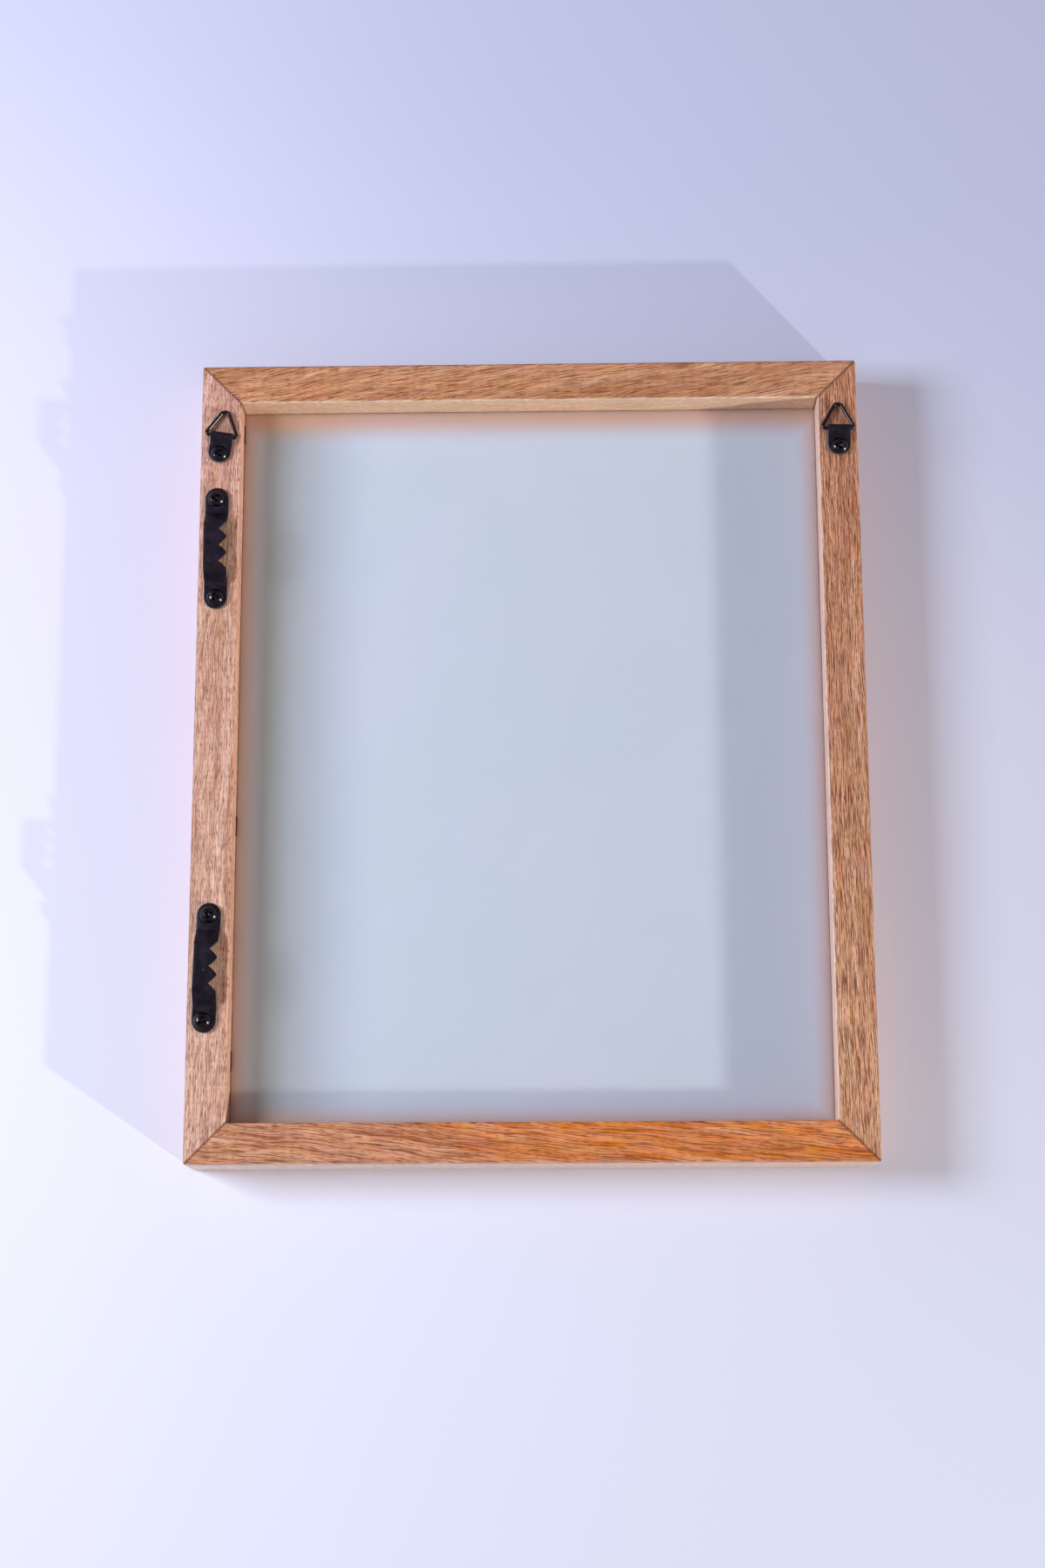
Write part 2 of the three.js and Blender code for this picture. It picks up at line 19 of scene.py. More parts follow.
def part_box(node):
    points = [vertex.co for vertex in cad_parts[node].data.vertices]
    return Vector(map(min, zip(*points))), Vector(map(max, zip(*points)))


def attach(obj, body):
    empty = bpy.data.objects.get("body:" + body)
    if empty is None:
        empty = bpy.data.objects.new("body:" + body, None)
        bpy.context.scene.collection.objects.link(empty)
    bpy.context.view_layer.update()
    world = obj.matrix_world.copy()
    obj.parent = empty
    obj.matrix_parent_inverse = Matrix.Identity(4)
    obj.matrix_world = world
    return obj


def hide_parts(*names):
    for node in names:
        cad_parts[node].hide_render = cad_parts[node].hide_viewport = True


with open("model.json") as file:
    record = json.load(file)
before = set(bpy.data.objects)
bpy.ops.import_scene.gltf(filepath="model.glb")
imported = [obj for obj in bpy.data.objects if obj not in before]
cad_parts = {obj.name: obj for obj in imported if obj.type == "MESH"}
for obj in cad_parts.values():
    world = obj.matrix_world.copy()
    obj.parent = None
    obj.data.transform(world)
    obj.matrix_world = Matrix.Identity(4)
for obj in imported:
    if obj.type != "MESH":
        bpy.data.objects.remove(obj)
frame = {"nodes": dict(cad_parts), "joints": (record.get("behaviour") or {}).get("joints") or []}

LOG = logging.getLogger("frame")
MM = 0.001

Colour = tuple[float, float, float, float]
Socket = bpy.types.NodeSocket
Section = Sequence[tuple[float, float]]


class Body(Enum):
    """The bodies that a piece can move with."""

    FRAME = "frame"
    LEFT_RING = "left_ring"
    RIGHT_RING = "right_ring"


class Slot(Enum):
    """Names for the finishes of the pieces that are made here, which a piece keeps but nothing
    reads.
    """

    DARK_WIRE = "dark_wire"
    BLACK_PLATE = "black_plate"
    BLACK_GLOSS = "black_gloss"


def rgb(red: int, green: int, blue: int) -> Colour:
    """Turns a colour as a screen shows it into a linear one.

    Args:
        red: the red of the colour, from 0 to 255.
        green: its green.
        blue: its blue.

    Returns:
        The linear colour, opaque.
    """

    def linear(value: int) -> float:
        """The linear strength of one channel, by the screen's own standard curve."""
        share = value / 255
        return share / 12.92 if share <= 0.04045 else ((share + 0.055) / 1.055) ** 2.4

    return linear(red), linear(green), linear(blue), 1.0


# Shader node trees


class Tree:
    """A shader node tree that is put together by short calls."""

    def __init__(self, tree: bpy.types.NodeTree) -> None:
        """Takes the node tree to build in."""
        self.tree = tree

    def node(self, kind: str, inputs: dict | None = None, **settings: Any) -> bpy.types.Node:
        """Adds one node.

        Args:
            kind: the node's type, without its leading "ShaderNode".
            inputs: a value or a socket for each input that is set, by name or number.
            settings: the node's own properties.

        Returns:
            The new node.
        """
        node = self.tree.nodes.new("ShaderNode" + kind)
        for name, value in settings.items():
            setattr(node, name, value)
        self.feed(node, inputs or {})
        return node

    def feed(self, node: bpy.types.Node, inputs: dict) -> None:
        """Links sockets to a node's inputs, or sets the inputs to plain values.

        Args:
            node: the node.
            inputs: a value or a socket for each input that is set, by name or number.
        """
        for name, value in inputs.items():
            if isinstance(value, bpy.types.NodeSocket):
                self.tree.links.new(value, node.inputs[name])
            else:
                node.inputs[name].default_value = value

    def math(self, operation: str, *values: Any) -> Socket:
        """Adds a Math node and returns its result."""
        return self.node("Math", dict(enumerate(values)), operation=operation).outputs[0]

    def times(self, *values: Any) -> Socket:
        """Multiplies two values."""
        return self.math("MULTIPLY", *values)

    def minus(self, first: Any, second: Any) -> Socket:
        """Takes the second value from the first."""
        return self.math("SUBTRACT", first, second)

    def scaled(self, value: Any, factor: Any, base: Any) -> Socket:
        """The value times the factor, plus the base."""
        return self.math("MULTIPLY_ADD", value, factor, base)

    def inverse(self, mask: Any) -> Socket:
        """Turns a mask round, so that its 0 is 1 and its 1 is 0."""
        return self.minus(1.0, mask)

    def vector(self, operation: str, *values: Any) -> Socket:
        """Adds a Vector Math node and returns its vector."""
        return self.node("VectorMath", dict(enumerate(values)), operation=operation).outputs[0]

    def blend(self, share: Any, first: Any, second: Any) -> Socket:
        """Mixes two colours, with all of the second where the share is 1."""
        inputs = {0: share, 6: first, 7: second}
        return self.node("Mix", inputs, data_type="RGBA").outputs[2]

    def step(self, value: Any, low: Any, high: Any) -> Socket:
        """Rises smoothly from 0 to 1 as a value goes from low to high."""
        inputs = {"Value": value, "From Min": low, "From Max": high}
        return self.node("MapRange", inputs, interpolation_type="SMOOTHSTEP").outputs[0]

    def noise(self, vector: Any, scale: float, detail: float = 2.0) -> bpy.types.Node:
        """Adds a noise texture."""
        return self.node("TexNoise", {"Vector": vector, "Scale": scale, "Detail": detail})

    def stretched(self, vector: Any, along: Any, across: Any) -> Socket:
        """Divides a vector by one length along X and by another along Y and Z."""
        lengths = self.node("CombineXYZ", {"X": along, "Y": across, "Z": across}).outputs[0]
        return self.vector("DIVIDE", vector, lengths)

    def split(self, vector: Any) -> tuple[Socket, Socket, Socket]:
        """The three parts of a vector."""
        node = self.node("SeparateXYZ", {0: vector})
        return node.outputs[0], node.outputs[1], node.outputs[2]


class Effect:
    """A shader node group with named inputs and outputs, built once and then placed at will."""

    KINDS = {"colour": "NodeSocketColor", "vector": "NodeSocketVector", "value": "NodeSocketFloat"}

    def __init__(self, name: str, inputs: dict[str, str], outputs: dict[str, str]) -> None:
        """Makes the group with its sockets.

        Args:
            name: the group's name.
            inputs: the kind of each named input.
            outputs: the kind of each named output.
        """
        self.group = bpy.data.node_groups.new(name, "ShaderNodeTree")
        for in_out, sockets in (("INPUT", inputs), ("OUTPUT", outputs)):
            for socket, kind in sockets.items():
                self.group.interface.new_socket(
                    name=socket, in_out=in_out, socket_type=self.KINDS[kind]
                )
        self.tree = Tree(self.group)
        self.given = self.group.nodes.new("NodeGroupInput").outputs
        self.result = self.group.nodes.new("NodeGroupOutput")
        self.build()

    def build(self) -> None:
        """Fills the group with its nodes."""
        raise NotImplementedError

    def out(self, **sockets: Any) -> None:
        """Links what the group puts out."""
        self.tree.feed(self.result, sockets)

    def place(self, tree: Tree, **inputs: Any) -> bpy.types.NodeOutputs:
        """Places the group in a tree and returns its outputs by name."""
        named = {name.replace("_", " "): value for name, value in inputs.items()}
        return tree.node("Group", named, node_tree=self.group).outputs


class Grain(Effect):
    """Open-pored hardwood whose grain runs along X: tone, fine fibres and rows of pores.

    BEND, FIBRE and CLOUD each hold a length along the grain and one across it, in millimetres.
    A name that ends in STEP holds where a mask starts to rise and where it is full, and one that
    ends in SPAN holds how far a value varies and the least that it can be.
    """

    BEND = (46.0, 16.0)
    BAND_LENGTH = 85.0
    BAND_STEP = (0.3, 0.7)
    FIBRE = (7.0, 0.14)
    FIBRE_STEP = (0.35, 0.8)
    FIBRE_SHARE = 0.5
    FIBRE_HEIGHT = 0.01
    CLOUD = (12.0, 1.8)
    # the middle of each, and how far it swings from end to end
    SWINGS = {"Hue": (0.5, 0.045), "Saturation": (1.0, 0.4), "Value": (1.0, 0.44)}
    ROW_STRETCH = 1.7
    ROW_WIDTH = 0.3
    ROW_STEP = (0.42, 0.66)
    # the size of the pores, and half the width of the widest
    COARSE = (1.0, 0.24)
    FINE = (0.5, 0.16)
    FINE_SHARE = 0.7
    PORE_CORE = 0.2
    REACH_SPAN = (0.3, 0.2)
    CROWD_SPAN = (0.4, 0.8)
    DARK_SPAN = (0.6, 0.4)
    PORE_SHARE = 0.85
    PORE_DEPTH = 0.05
    ROUGHNESS_SPAN = (0.25, 0.5)

    def __init__(self) -> None:
        """Makes the group."""
        values = ("Slant", "Wander", "Band", "Line", "Pore length", "Pore gap", "Pore share", "Seed")
        inputs = {"Vector": "vector", "Light": "colour", "Dark": "colour", "Pore": "colour"}
        outputs = {"Color": "colour", "Roughness": "value", "Height": "value"}
        super().__init__("Grain", inputs | dict.fromkeys(values, "value"), outputs)

    def build(self) -> None:
        """Bends the coordinates along the grain, then lays bands, fibres and pores over them."""
        tree, given = self.tree, self.given
        flow = self.flow()
        bands = tree.stretched(flow, self.BAND_LENGTH, given["Band"])
        tone = tree.step(tree.noise(bands, 1.0, 3.0).outputs[0], *self.BAND_STEP)
        fibre = tree.noise(tree.stretched(flow, *self.FIBRE), 1.0, 2.0).outputs[0]
        streak = tree.times(tree.step(fibre, *self.FIBRE_STEP), self.FIBRE_SHARE)
        colour = tree.blend(tone, given["Light"], given["Dark"])
        colour = self.clouded(flow, tree.blend(streak, colour, given["Dark"]))
        longer = tree.times(given["Pore length"], self.ROW_STRETCH)
        rows = tree.noise(tree.stretched(flow, longer, self.ROW_WIDTH), 1.0, 1.0).outputs[0]
        line = tree.times(tree.step(rows, *self.ROW_STEP), given["Line"])
        colour = tree.blend(line, colour, given["Pore"])
        fine = tree.times(self.pores(flow, *self.FINE, tone), self.FINE_SHARE)
        pore = tree.math("MAXIMUM", self.pores(flow, *self.COARSE, tone), fine)
        colour = tree.blend(tree.times(pore, self.PORE_SHARE), colour, given["Pore"])
        depth = tree.times(pore, -self.PORE_DEPTH)
        height = tree.scaled(fibre, self.FIBRE_HEIGHT, depth)
        self.out(Color=colour, Roughness=tree.scaled(pore, *self.ROUGHNESS_SPAN), Height=height)

    def flow(self) -> Socket:
        """Slants and gently bends the coordinates.

        Returns:
            The coordinates, whose lines of equal Y follow the grain.
        """
        tree, given = self.tree, self.given
        along, across, deep = tree.split(given["Vector"])
        seeded = tree.vector("ADD", given["Vector"], given["Seed"])
        drift = tree.noise(tree.stretched(seeded, *self.BEND), 1.0, 2.0).outputs[0]
        bend = tree.times(tree.minus(drift, 0.5), given["Wander"])
        slope = tree.scaled(along, given["Slant"], bend)
        bent = {"X": along, "Y": tree.math("ADD", across, slope), "Z": deep}
        moved = tree.node("CombineXYZ", bent).outputs[0]
        return tree.vector("ADD", moved, given["Seed"])

    def clouded(self, flow: Socket, colour: Socket) -> Socket:
        """Lets the wood's hue, saturation and value wander a little.

        Args:
            flow: the coordinates along the grain.
            colour: the wood's colour.

        Returns:
            The colour with its clouds.
        """
        tree = self.tree
        clouds = tree.noise(tree.stretched(flow, *self.CLOUD), 1.0, 3.0).outputs["Color"]
        shifts = {"Color": colour}
        for (name, (middle, swing)), cloud in zip(self.SWINGS.items(), tree.split(clouds)):
            shifts[name] = tree.scaled(cloud, swing, middle - swing / 2)
        return tree.node("HueSaturation", shifts).outputs[0]

    def pores(self, flow: Socket, size: float, width: float, tone: Socket) -> Socket:
        """Thin, dark dashes along the grain, thicker on the ground where the wood is dark.

        Args:
            flow: the coordinates along the grain.
            size: a factor for the pores' length and spacing.
            width: half the width of the widest pore, in millimetres.
            tone: the wood's own light and dark bands.

        Returns:
            A mask that is 1 in the middle of a pore.
        """
        tree, given = self.tree, self.given
        along, across, deep = tree.split(flow)
        gap = tree.times(given["Pore gap"], size)
        steps = {
            "X": tree.math("DIVIDE", along, tree.times(given["Pore length"], size)),
            "Y": tree.math("DIVIDE", tree.math("ADD", across, deep), gap),
        }
        place = tree.node("CombineXYZ", steps).outputs[0]
        cells = tree.node("TexVoronoi", {"Vector": place, "Scale": 1.0}, voronoi_dimensions="2D")
        chance, stretch, depth = tree.split(cells.outputs["Color"])
        from_middle = tree.vector("SUBTRACT", place, cells.outputs["Position"])
        beyond, beside, _ = tree.split(tree.vector("ABSOLUTE", from_middle))
        reach = tree.scaled(stretch, *self.REACH_SPAN)
        ending = tree.step(beyond, tree.times(reach, self.PORE_CORE), reach)
        side = tree.step(tree.times(beside, gap), width * self.PORE_CORE, width)
        inside = tree.times(tree.inverse(ending), tree.inverse(side))
        share = tree.times(given["Pore share"], tree.scaled(tone, *self.CROWD_SPAN))
        there = tree.math("LESS_THAN", chance, share)
        return tree.times(tree.times(inside, there), tree.scaled(depth, *self.DARK_SPAN))


class RailEdges(Effect):
    """Masks of a rail whose outer face is at Y = 0: its edges, mitres, inner wall and side."""

    RAGGED = (5.0, 1.2)  # the size of the raggedness along X and across it
    LEAST = 0.1  # how wide an edge is where it isn't ragged
    REACH = 1.5
    SEAM = 0.9

    def __init__(self) -> None:
        """Makes the group."""
        inputs = dict.fromkeys(("Half length", "Width", "Depth"), "value")
        outputs = dict.fromkeys(("Edge", "Joint", "Wall", "Side"), "value")
        super().__init__("Rail edges", {"Vector": "vector"} | inputs, outputs)

    def build(self) -> None:
        """Measures how far each point is from the edges and from the mitres."""
        tree, given = self.tree, self.given
        along, inward, height = tree.split(given["Vector"])
        ragged = tree.noise(tree.stretched(given["Vector"], *self.RAGGED), 1.0, 3.0).outputs[0]
        reach = tree.scaled(ragged, self.REACH, self.LEAST)
        distances = {
            "Edge": tree.math("MAXIMUM", inward, tree.minus(given["Depth"], height)),
            "Wall": tree.minus(given["Width"], inward),
            "Side": inward,
        }
        for name, distance in distances.items():
            self.out(**{name: tree.inverse(tree.step(distance, self.LEAST, reach))})
        to_end = tree.minus(given["Half length"], tree.math("ABSOLUTE", along))
        seam = tree.scaled(ragged, self.SEAM, -self.LEAST)
        self.out(Joint=tree.inverse(tree.step(tree.minus(to_end, inward), 0.0, seam)))


class ToneDrift(Effect):
    """A soft, ragged change of tone along X, as where a board runs out of the heartwood."""

    CLOUD = (30.0, 5.0)  # the size of the raggedness along X and across it
    RAGGED = 40.0

    def __init__(self) -> None:
        """Makes the group."""
        inputs = dict.fromkeys(("From", "To", "Lean"), "value")
        super().__init__("Tone drift", {"Vector": "vector"} | inputs, {"Share": "value"})

    def build(self) -> None:
        """Mixes the place along the board with a little of the place across it."""
        tree, given = self.tree, self.given
        along, across, _ = tree.split(given["Vector"])
        cloud = tree.noise(tree.stretched(given["Vector"], *self.CLOUD), 1.0, 3.0).outputs[0]
        leaning = tree.scaled(across, given["Lean"], along)
        ragged = tree.scaled(cloud, self.RAGGED, tree.minus(leaning, self.RAGGED / 2))
        self.out(Share=tree.step(ragged, given["From"], given["To"]))


class Scuffs(Effect):
    """Small rubbed marks and specks in a coat of paint, with a faint orange-peel height."""

    CLOUDS = 0.32  # how many to a millimetre
    PEEL = 3.2
    SPECK_CORE = 0.04
    SPECK_SPAN = (0.2, 0.06)  # how far a speck's size varies, and the least that it can be

    def __init__(self) -> None:
        """Makes the group."""
        inputs = {"Vector": "vector", "Size": "value", "Share": "value"}
        outputs = {"Mask": "value", "Cloud": "value", "Height": "value"}
        super().__init__("Scuffs", inputs, outputs)

    def build(self) -> None:
        """Lays specks by cells, and a cloud and a peel by noise."""
        tree, given = self.tree, self.given
        place = tree.vector("DIVIDE", given["Vector"], given["Size"])
        cells = tree.node("TexVoronoi", {"Vector": place, "Scale": 1.0})
        chance, width, _ = tree.split(cells.outputs["Color"])
        there = tree.math("LESS_THAN", chance, given["Share"])
        reach = tree.scaled(width, *self.SPECK_SPAN)
        speck = tree.inverse(tree.step(cells.outputs["Distance"], self.SPECK_CORE, reach))
        cloud = tree.noise(given["Vector"], self.CLOUDS, 3.0).outputs[0]
        peel = tree.noise(given["Vector"], self.PEEL, 2.0).outputs[0]
        self.out(Mask=tree.times(speck, there), Cloud=cloud, Height=peel)


# Finishes


def new_material(name: str) -> tuple[bpy.types.Material, Tree, bpy.types.Node]:
    """Makes a material that holds one Principled shader.

    Args:
        name: the material's name.

    Returns:
        The material, its tree and its shader.
    """
    material = bpy.data.materials.new(name)
    material.use_nodes = True
    shader = material.node_tree.nodes["Principled BSDF"]
    return material, Tree(material.node_tree), shader


def in_millimetres(tree: Tree, turn: float = 0.0, shift: float = 0.0) -> Socket:
    """The place in the frame in millimetres, turned about Z and then shifted along Y.

    Args:
        tree: the material's tree.
        turn: the way that X points afterwards, in radians.
        shift: how far the place is moved along Y.

    Returns:
        The place.
    """
    inputs = {
        "Vector": tree.node("TexCoord").outputs["Object"],
        "Location": (0.0, shift, 0.0),
        "Rotation": (0.0, 0.0, -turn),
        "Scale": (1 / MM,) * 3,
    }
    return tree.node("Mapping", inputs).outputs[0]


def bumped(tree: Tree, height: Socket, depth: float) -> Socket:
    """The normal of a surface with a height, whose unit is a depth in millimetres."""
    inputs = {"Height": height, "Distance": depth * MM, "Strength": 1.0}
    return tree.node("Bump", inputs).outputs[0]


def coat(node: str, material: bpy.types.Material) -> None:
    """Gives a node's own solid its finish.

    Args:
        node: the node.
        material: its finish.
    """
    data = frame["nodes"][node].data
    data.materials.clear()
    data.materials.append(material)
    LOG.info("%s: finished in %s", node, material.name)


@dataclass(frozen=True)
class Tone:
    """The colours of one kind of wood."""

    light: Colour
    dark: Colour
    pore: Colour


@dataclass(frozen=True)
class Figure:
    """How the grain of one rail runs, with a field for each of the grain's own values."""

    slant: float
    line: float
    pore_length: float
    pore_gap: float
    pore_share: float
    seed: float
    wander: float = 6.0
    band: float = 3.0

    def inputs(self) -> dict[str, float]:
        """The values by the names of the grain's inputs."""
        return {name.capitalize(): value for name, value in asdict(self).items()}


# A pale cream of painted sheen, as where light strikes the wood at a grazing angle
SHEEN_CREAM = rgb(240, 206, 172)


@dataclass(frozen=True)
class WoodFinish:
    """The figure and the colours of one rail, which change from one tone to another along it."""

    base: Tone
    other: Tone
    change: tuple[float, float]
    figure: Figure
    # painted pale sheen on the inner wall and on the outer side, each with its share
    wall: Colour = SHEEN_CREAM
    wall_share: float = 0.0
    side: Colour = SHEEN_CREAM
    side_share: float = 0.0
    # painted shade along the outer back edge
    edge: Colour = rgb(116, 68, 46)
    lean: float = 2.0


@dataclass(frozen=True)
class DarkPaint:
    """Dark paint on metal, from satin to glossy, with pale edges: worn metal and a painted
    highlight.

    A pair of numbers is where a mask starts to rise and where it is full.
    """

    paint: Colour
    rubbed: Colour
    roughness: float
    spread: float
    speck_size: float
    speck_share: float
    peel: float
    shine: float
    # share of the pale edges: paint worn to the metal, with a painted highlight
    worn: float = 0.0
    speck: Colour = rgb(128, 124, 122)
    speck_strength: float = 0.5
    cloudy: tuple[float, float] = (0.3, 0.8)
    # the pale edges: worn metal with a painted highlight, on cut edges and on a ledge below a height
    bare: Colour = rgb(160, 146, 148)
    bare_edge: float = 0.3
    bare_below: float = 21.6
    not_cut: tuple[float, float] = (0.3, 0.6)
    faces_up: tuple[float, float] = (0.2, 0.7)

    def material(self, name: str, scuffs: Scuffs) -> bpy.types.Material:
        """Makes the material.

        Args:
            name: the material's name.
            scuffs: the group that lays specks and clouds.

        Returns:
            The material.
        """
        material, tree, shader = new_material(name)
        place = in_millimetres(tree)
        worn = scuffs.place(tree, Vector=place, Size=self.speck_size, Share=self.speck_share)
        cloudy = tree.blend(tree.step(worn["Cloud"], *self.cloudy), self.paint, self.rubbed)
        colour = tree.blend(tree.times(worn["Mask"], self.speck_strength), cloudy, self.speck)
        # Pale edges: paint worn to the metal, with a painted highlight
        bare = tree.times(self.edges(tree, place), self.worn)
        tree.feed(shader, {
            "Base Color": tree.blend(bare, colour, self.bare),
            "Roughness": tree.scaled(worn["Cloud"], self.spread, self.roughness),
            "Specular IOR Level": self.shine,
            "Normal": bumped(tree, worn["Height"], self.peel),
        })
        return material

    def edges(self, tree: Tree, place: Socket) -> Socket:
        """Where a plate's edges are painted pale: cut edges not facing the top, and the ledge by the
        wood.

        Args:
            tree: the material's tree.
            place: the place in the frame, in millimetres.

        Returns:
            A mask that is 1 where an edge is painted pale, as worn metal with a painted highlight.
        """
        _, towards_top, up = tree.split(tree.node("NewGeometry").outputs["Normal"])
        steep = tree.math("MAXIMUM", tree.math("ABSOLUTE", up), towards_top)
        cut_edge = tree.inverse(tree.step(steep, *self.not_cut))
        low = tree.math("LESS_THAN", tree.split(place)[2], self.bare_below)
        ledge = tree.times(low, tree.step(up, *self.faces_up))
        return tree.math("MAXIMUM", tree.times(cut_edge, self.bare_edge), ledge)


# Bent lines and meshes

ROUND_STEPS = 24  # the edges of a strip's round end, and of a hole in it
END_SIZE = 0.6  # the size of a bar's eased end, as a share of the bar


@dataclass(frozen=True)
class Stretch:
    """One stretch of a bent line, straight where it turns by nothing and an arc elsewhere."""

    length: float
    turn: float = 0.0

    def after(self, start: Vector, heading: float, along: float) -> tuple[Vector, float]:
        """Follows the stretch.

        Args:
            start: where the stretch starts.
            heading: its direction there, in radians.
            along: how far to follow it.

        Returns:
            The point and the heading that are reached.
        """
        if not self.turn:
            return start + along * Vector((math.cos(heading), math.sin(heading))), heading
        radius = self.length / self.turn
        now = heading + along / radius
        shift = Vector((math.sin(now) - math.sin(heading), math.cos(heading) - math.cos(now)))
        return start + radius * shift, now


@dataclass
class BentLine:
    """A flat line of straight stretches and arcs, which each start where the last one ends."""

    start: Vector
    heading: float
    stretches: list[Stretch]

    @classmethod
    def through(cls, corners: Sequence[tuple[float, float]], radii: Sequence[float]) -> "BentLine":
        """A line from the first corner to the last, with an arc at each corner between them.

        Args:
            corners: the points that the line would pass if it had no arcs.
            radii: the radius of the arc at each inner corner.

        Returns:
            The line.
        """
        points = [Vector(corner) for corner in corners]
        ways = [b - a for a, b in zip(points, points[1:])]
        headings = [math.atan2(way.y, way.x) for way in ways]
        turns = [math.remainder(b - a, math.tau) for a, b in zip(headings, headings[1:])]
        cuts = [0.0, *(r * math.tan(abs(t) / 2) for r, t in zip(radii, turns)), 0.0]
        stretches = []
        for i, way in enumerate(ways):
            stretches.append(Stretch(way.length - cuts[i] - cuts[i + 1]))
            if i < len(turns):
                stretches.append(Stretch(radii[i] * abs(turns[i]), turns[i]))
        return cls(points[0], headings[0], stretches)

    @property
    def length(self) -> float:
        """The length along the line."""
        return sum(stretch.length for stretch in self.stretches)

    def at(self, along: float) -> tuple[Vector, Vector]:
        """Follows the line.

        Args:
            along: how far to follow it.

        Returns:
            The point that is reached and the line's direction there.
        """
        point, heading, left = self.start, self.heading, along
        for stretch in self.stretches[:-1]:
            if left <= stretch.length:
                break
            point, heading = stretch.after(point, heading, stretch.length)
            left -= stretch.length
        else:
            stretch = self.stretches[-1]
        point, heading = stretch.after(point, heading, left)
        return point, Vector((math.cos(heading), math.sin(heading)))

    def stations(self, turn_step: float, longest: float = math.inf) -> list[float]:
        """Places along the line, close together in the arcs and at each change of stretch.

        Args:
            turn_step: the largest turn between two places, in radians.
            longest: the longest way between two places.

        Returns:
            How far each place is along the line.
        """
        places, done = [0.0], 0.0
        for stretch in self.stretches:
            steps = abs(stretch.turn) / turn_step, stretch.length / longest, 1
            parts = math.ceil(max(steps))
            places += [done + stretch.length * (i + 1) / parts for i in range(parts)]
            done += stretch.length
        return places


def arc(centre: tuple[float, float], radius: float, start: float, end: float, steps: int) -> Section:
    """Points along an arc, with its angles in degrees."""
    angles = [math.radians(start + (end - start) * i / steps) for i in range(steps + 1)]
    return [(centre[0] + radius * math.cos(a), centre[1] + radius * math.sin(a)) for a in angles]


def round_section(radius: float, sides: int, centre: tuple[float, float] = (0.0, 0.0)) -> Section:
    """A circle of points."""
    return arc(centre, radius, 0, 360, sides)[:-1]


def end_holes(radius: float, inset: float, length: float) -> list[Section]:
    """The outlines of two round holes, one near each end of a flat strip."""
    return [round_section(radius, ROUND_STEPS, (0.0, y)) for y in (inset, length - inset)]


def oblong_section(width: float, height: float, corner: float, steps: int = 4) -> Section:
    """An oblong of points with rounded corners.

    Args:
        width: its size along X.
        height: its size along Y.
        corner: the radius of its corners.
        steps: how many edges each corner has.

    Returns:
        The points.
    """
    points = []
    for i, (x, y) in enumerate(((1, 1), (-1, 1), (-1, -1), (1, -1))):
        centre = (x * (width / 2 - corner), y * (height / 2 - corner))
        points += arc(centre, corner, 90 * i, 90 * (i + 1), steps)
    return points


def walled(mesh: bmesh.types.BMesh, rows: Sequence[Sequence]) -> bmesh.types.BMesh:
    """Joins rings of points by a wall and turns all faces outwards.

    Args:
        mesh: the mesh, which holds the rings and the faces that close its ends.
        rows: the rings, with as many points in each.

    Returns:
        The mesh.
    """
    count = len(rows[0])
    for low, high in zip(rows, rows[1:]):
        for i in range(count):
            k = (i + 1) % count
            mesh.faces.new((low[i], low[k], high[k], high[i]))
    bmesh.ops.recalc_face_normals(mesh, faces=mesh.faces)
    return mesh


def swept(line: BentLine, section: Section, ease: float, turn_step: float) -> bmesh.types.BMesh:
    """A bar that follows a flat line in the XY plane, with eased ends.

    Args:
        line: the line that the middle of the bar follows.
        section: the bar's outline, as (offset in the plane, offset along Z).
        ease: how far the ends are rounded.
        turn_step: the largest turn between two rings, in radians.

    Returns:
        The bar's mesh.
    """
    mesh = bmesh.new()
    places = [ease, *line.stations(turn_step)[1:-1], line.length - ease]
    rings = [(0.0, END_SIZE), *((place, 1.0) for place in places), (line.length, END_SIZE)]
    rows = []
    for along, size in rings:
        point, way = line.at(along)
        side = Vector((-way.y, way.x))
        rows.append([mesh.verts.new((*(point + side * (a * size)), b * size)) for a, b in section])
    mesh.faces.new(list(reversed(rows[0])))
    mesh.faces.new(rows[-1])
    return walled(mesh, rows)


def turned(profile: Section, facets: int) -> bmesh.types.BMesh:
    """A body of revolution about Z.

    Args:
        profile: its half outline, as (radius, height), which starts and ends on Z.
        facets: the number of its sides.

    Returns:
        The body's mesh.
    """
    mesh = bmesh.new()
    rows = []
    for radius, height in profile[1:-1]:
        ring = round_section(radius, facets)
        rows.append([mesh.verts.new((x, y, height)) for x, y in ring])
    for row, (_, height) in ((rows[0], profile[0]), (rows[-1], profile[-1])):
        tip = mesh.verts.new((0, 0, height))
        for first, second in zip(row, row[1:] + row[:1]):
            mesh.faces.new((tip, first, second))
    return walled(mesh, rows)


def sheet_plate(loops: Iterable[Section], thickness: float, ease: float) -> bmesh.types.BMesh:
    """A flat plate with eased edges.

    Args:
        loops: the outline, then the outline of each hole.
        thickness: the plate's thickness, half of it on each side of z = 0.
        ease: the radius of the edges.

    Returns:
        The plate's mesh.
    """
    curve = bpy.data.curves.new("outline", "CURVE")
    curve.dimensions = "2D"
    curve.fill_mode = "BOTH"
    curve.extrude = thickness / 2 - ease
    curve.bevel_depth = ease
    curve.bevel_resolution = 1
    curve.offset = -ease
    for loop in loops:
        spline = curve.splines.new("POLY")
        spline.points.add(len(loop) - 1)
        for point, (x, y) in zip(spline.points, loop):
            point.co = (x, y, 0.0, 1.0)
        spline.use_cyclic_u = True
    holder = bpy.data.objects.new("outline", curve)
    data = bpy.data.meshes.new_from_object(holder)
    mesh = bmesh.new()
    mesh.from_mesh(data)
    bmesh.ops.remove_doubles(mesh, verts=mesh.verts, dist=1e-4)
    bmesh.ops.recalc_face_normals(mesh, faces=mesh.faces)
    bpy.data.objects.remove(holder)
    bpy.data.meshes.remove(data)
    return mesh


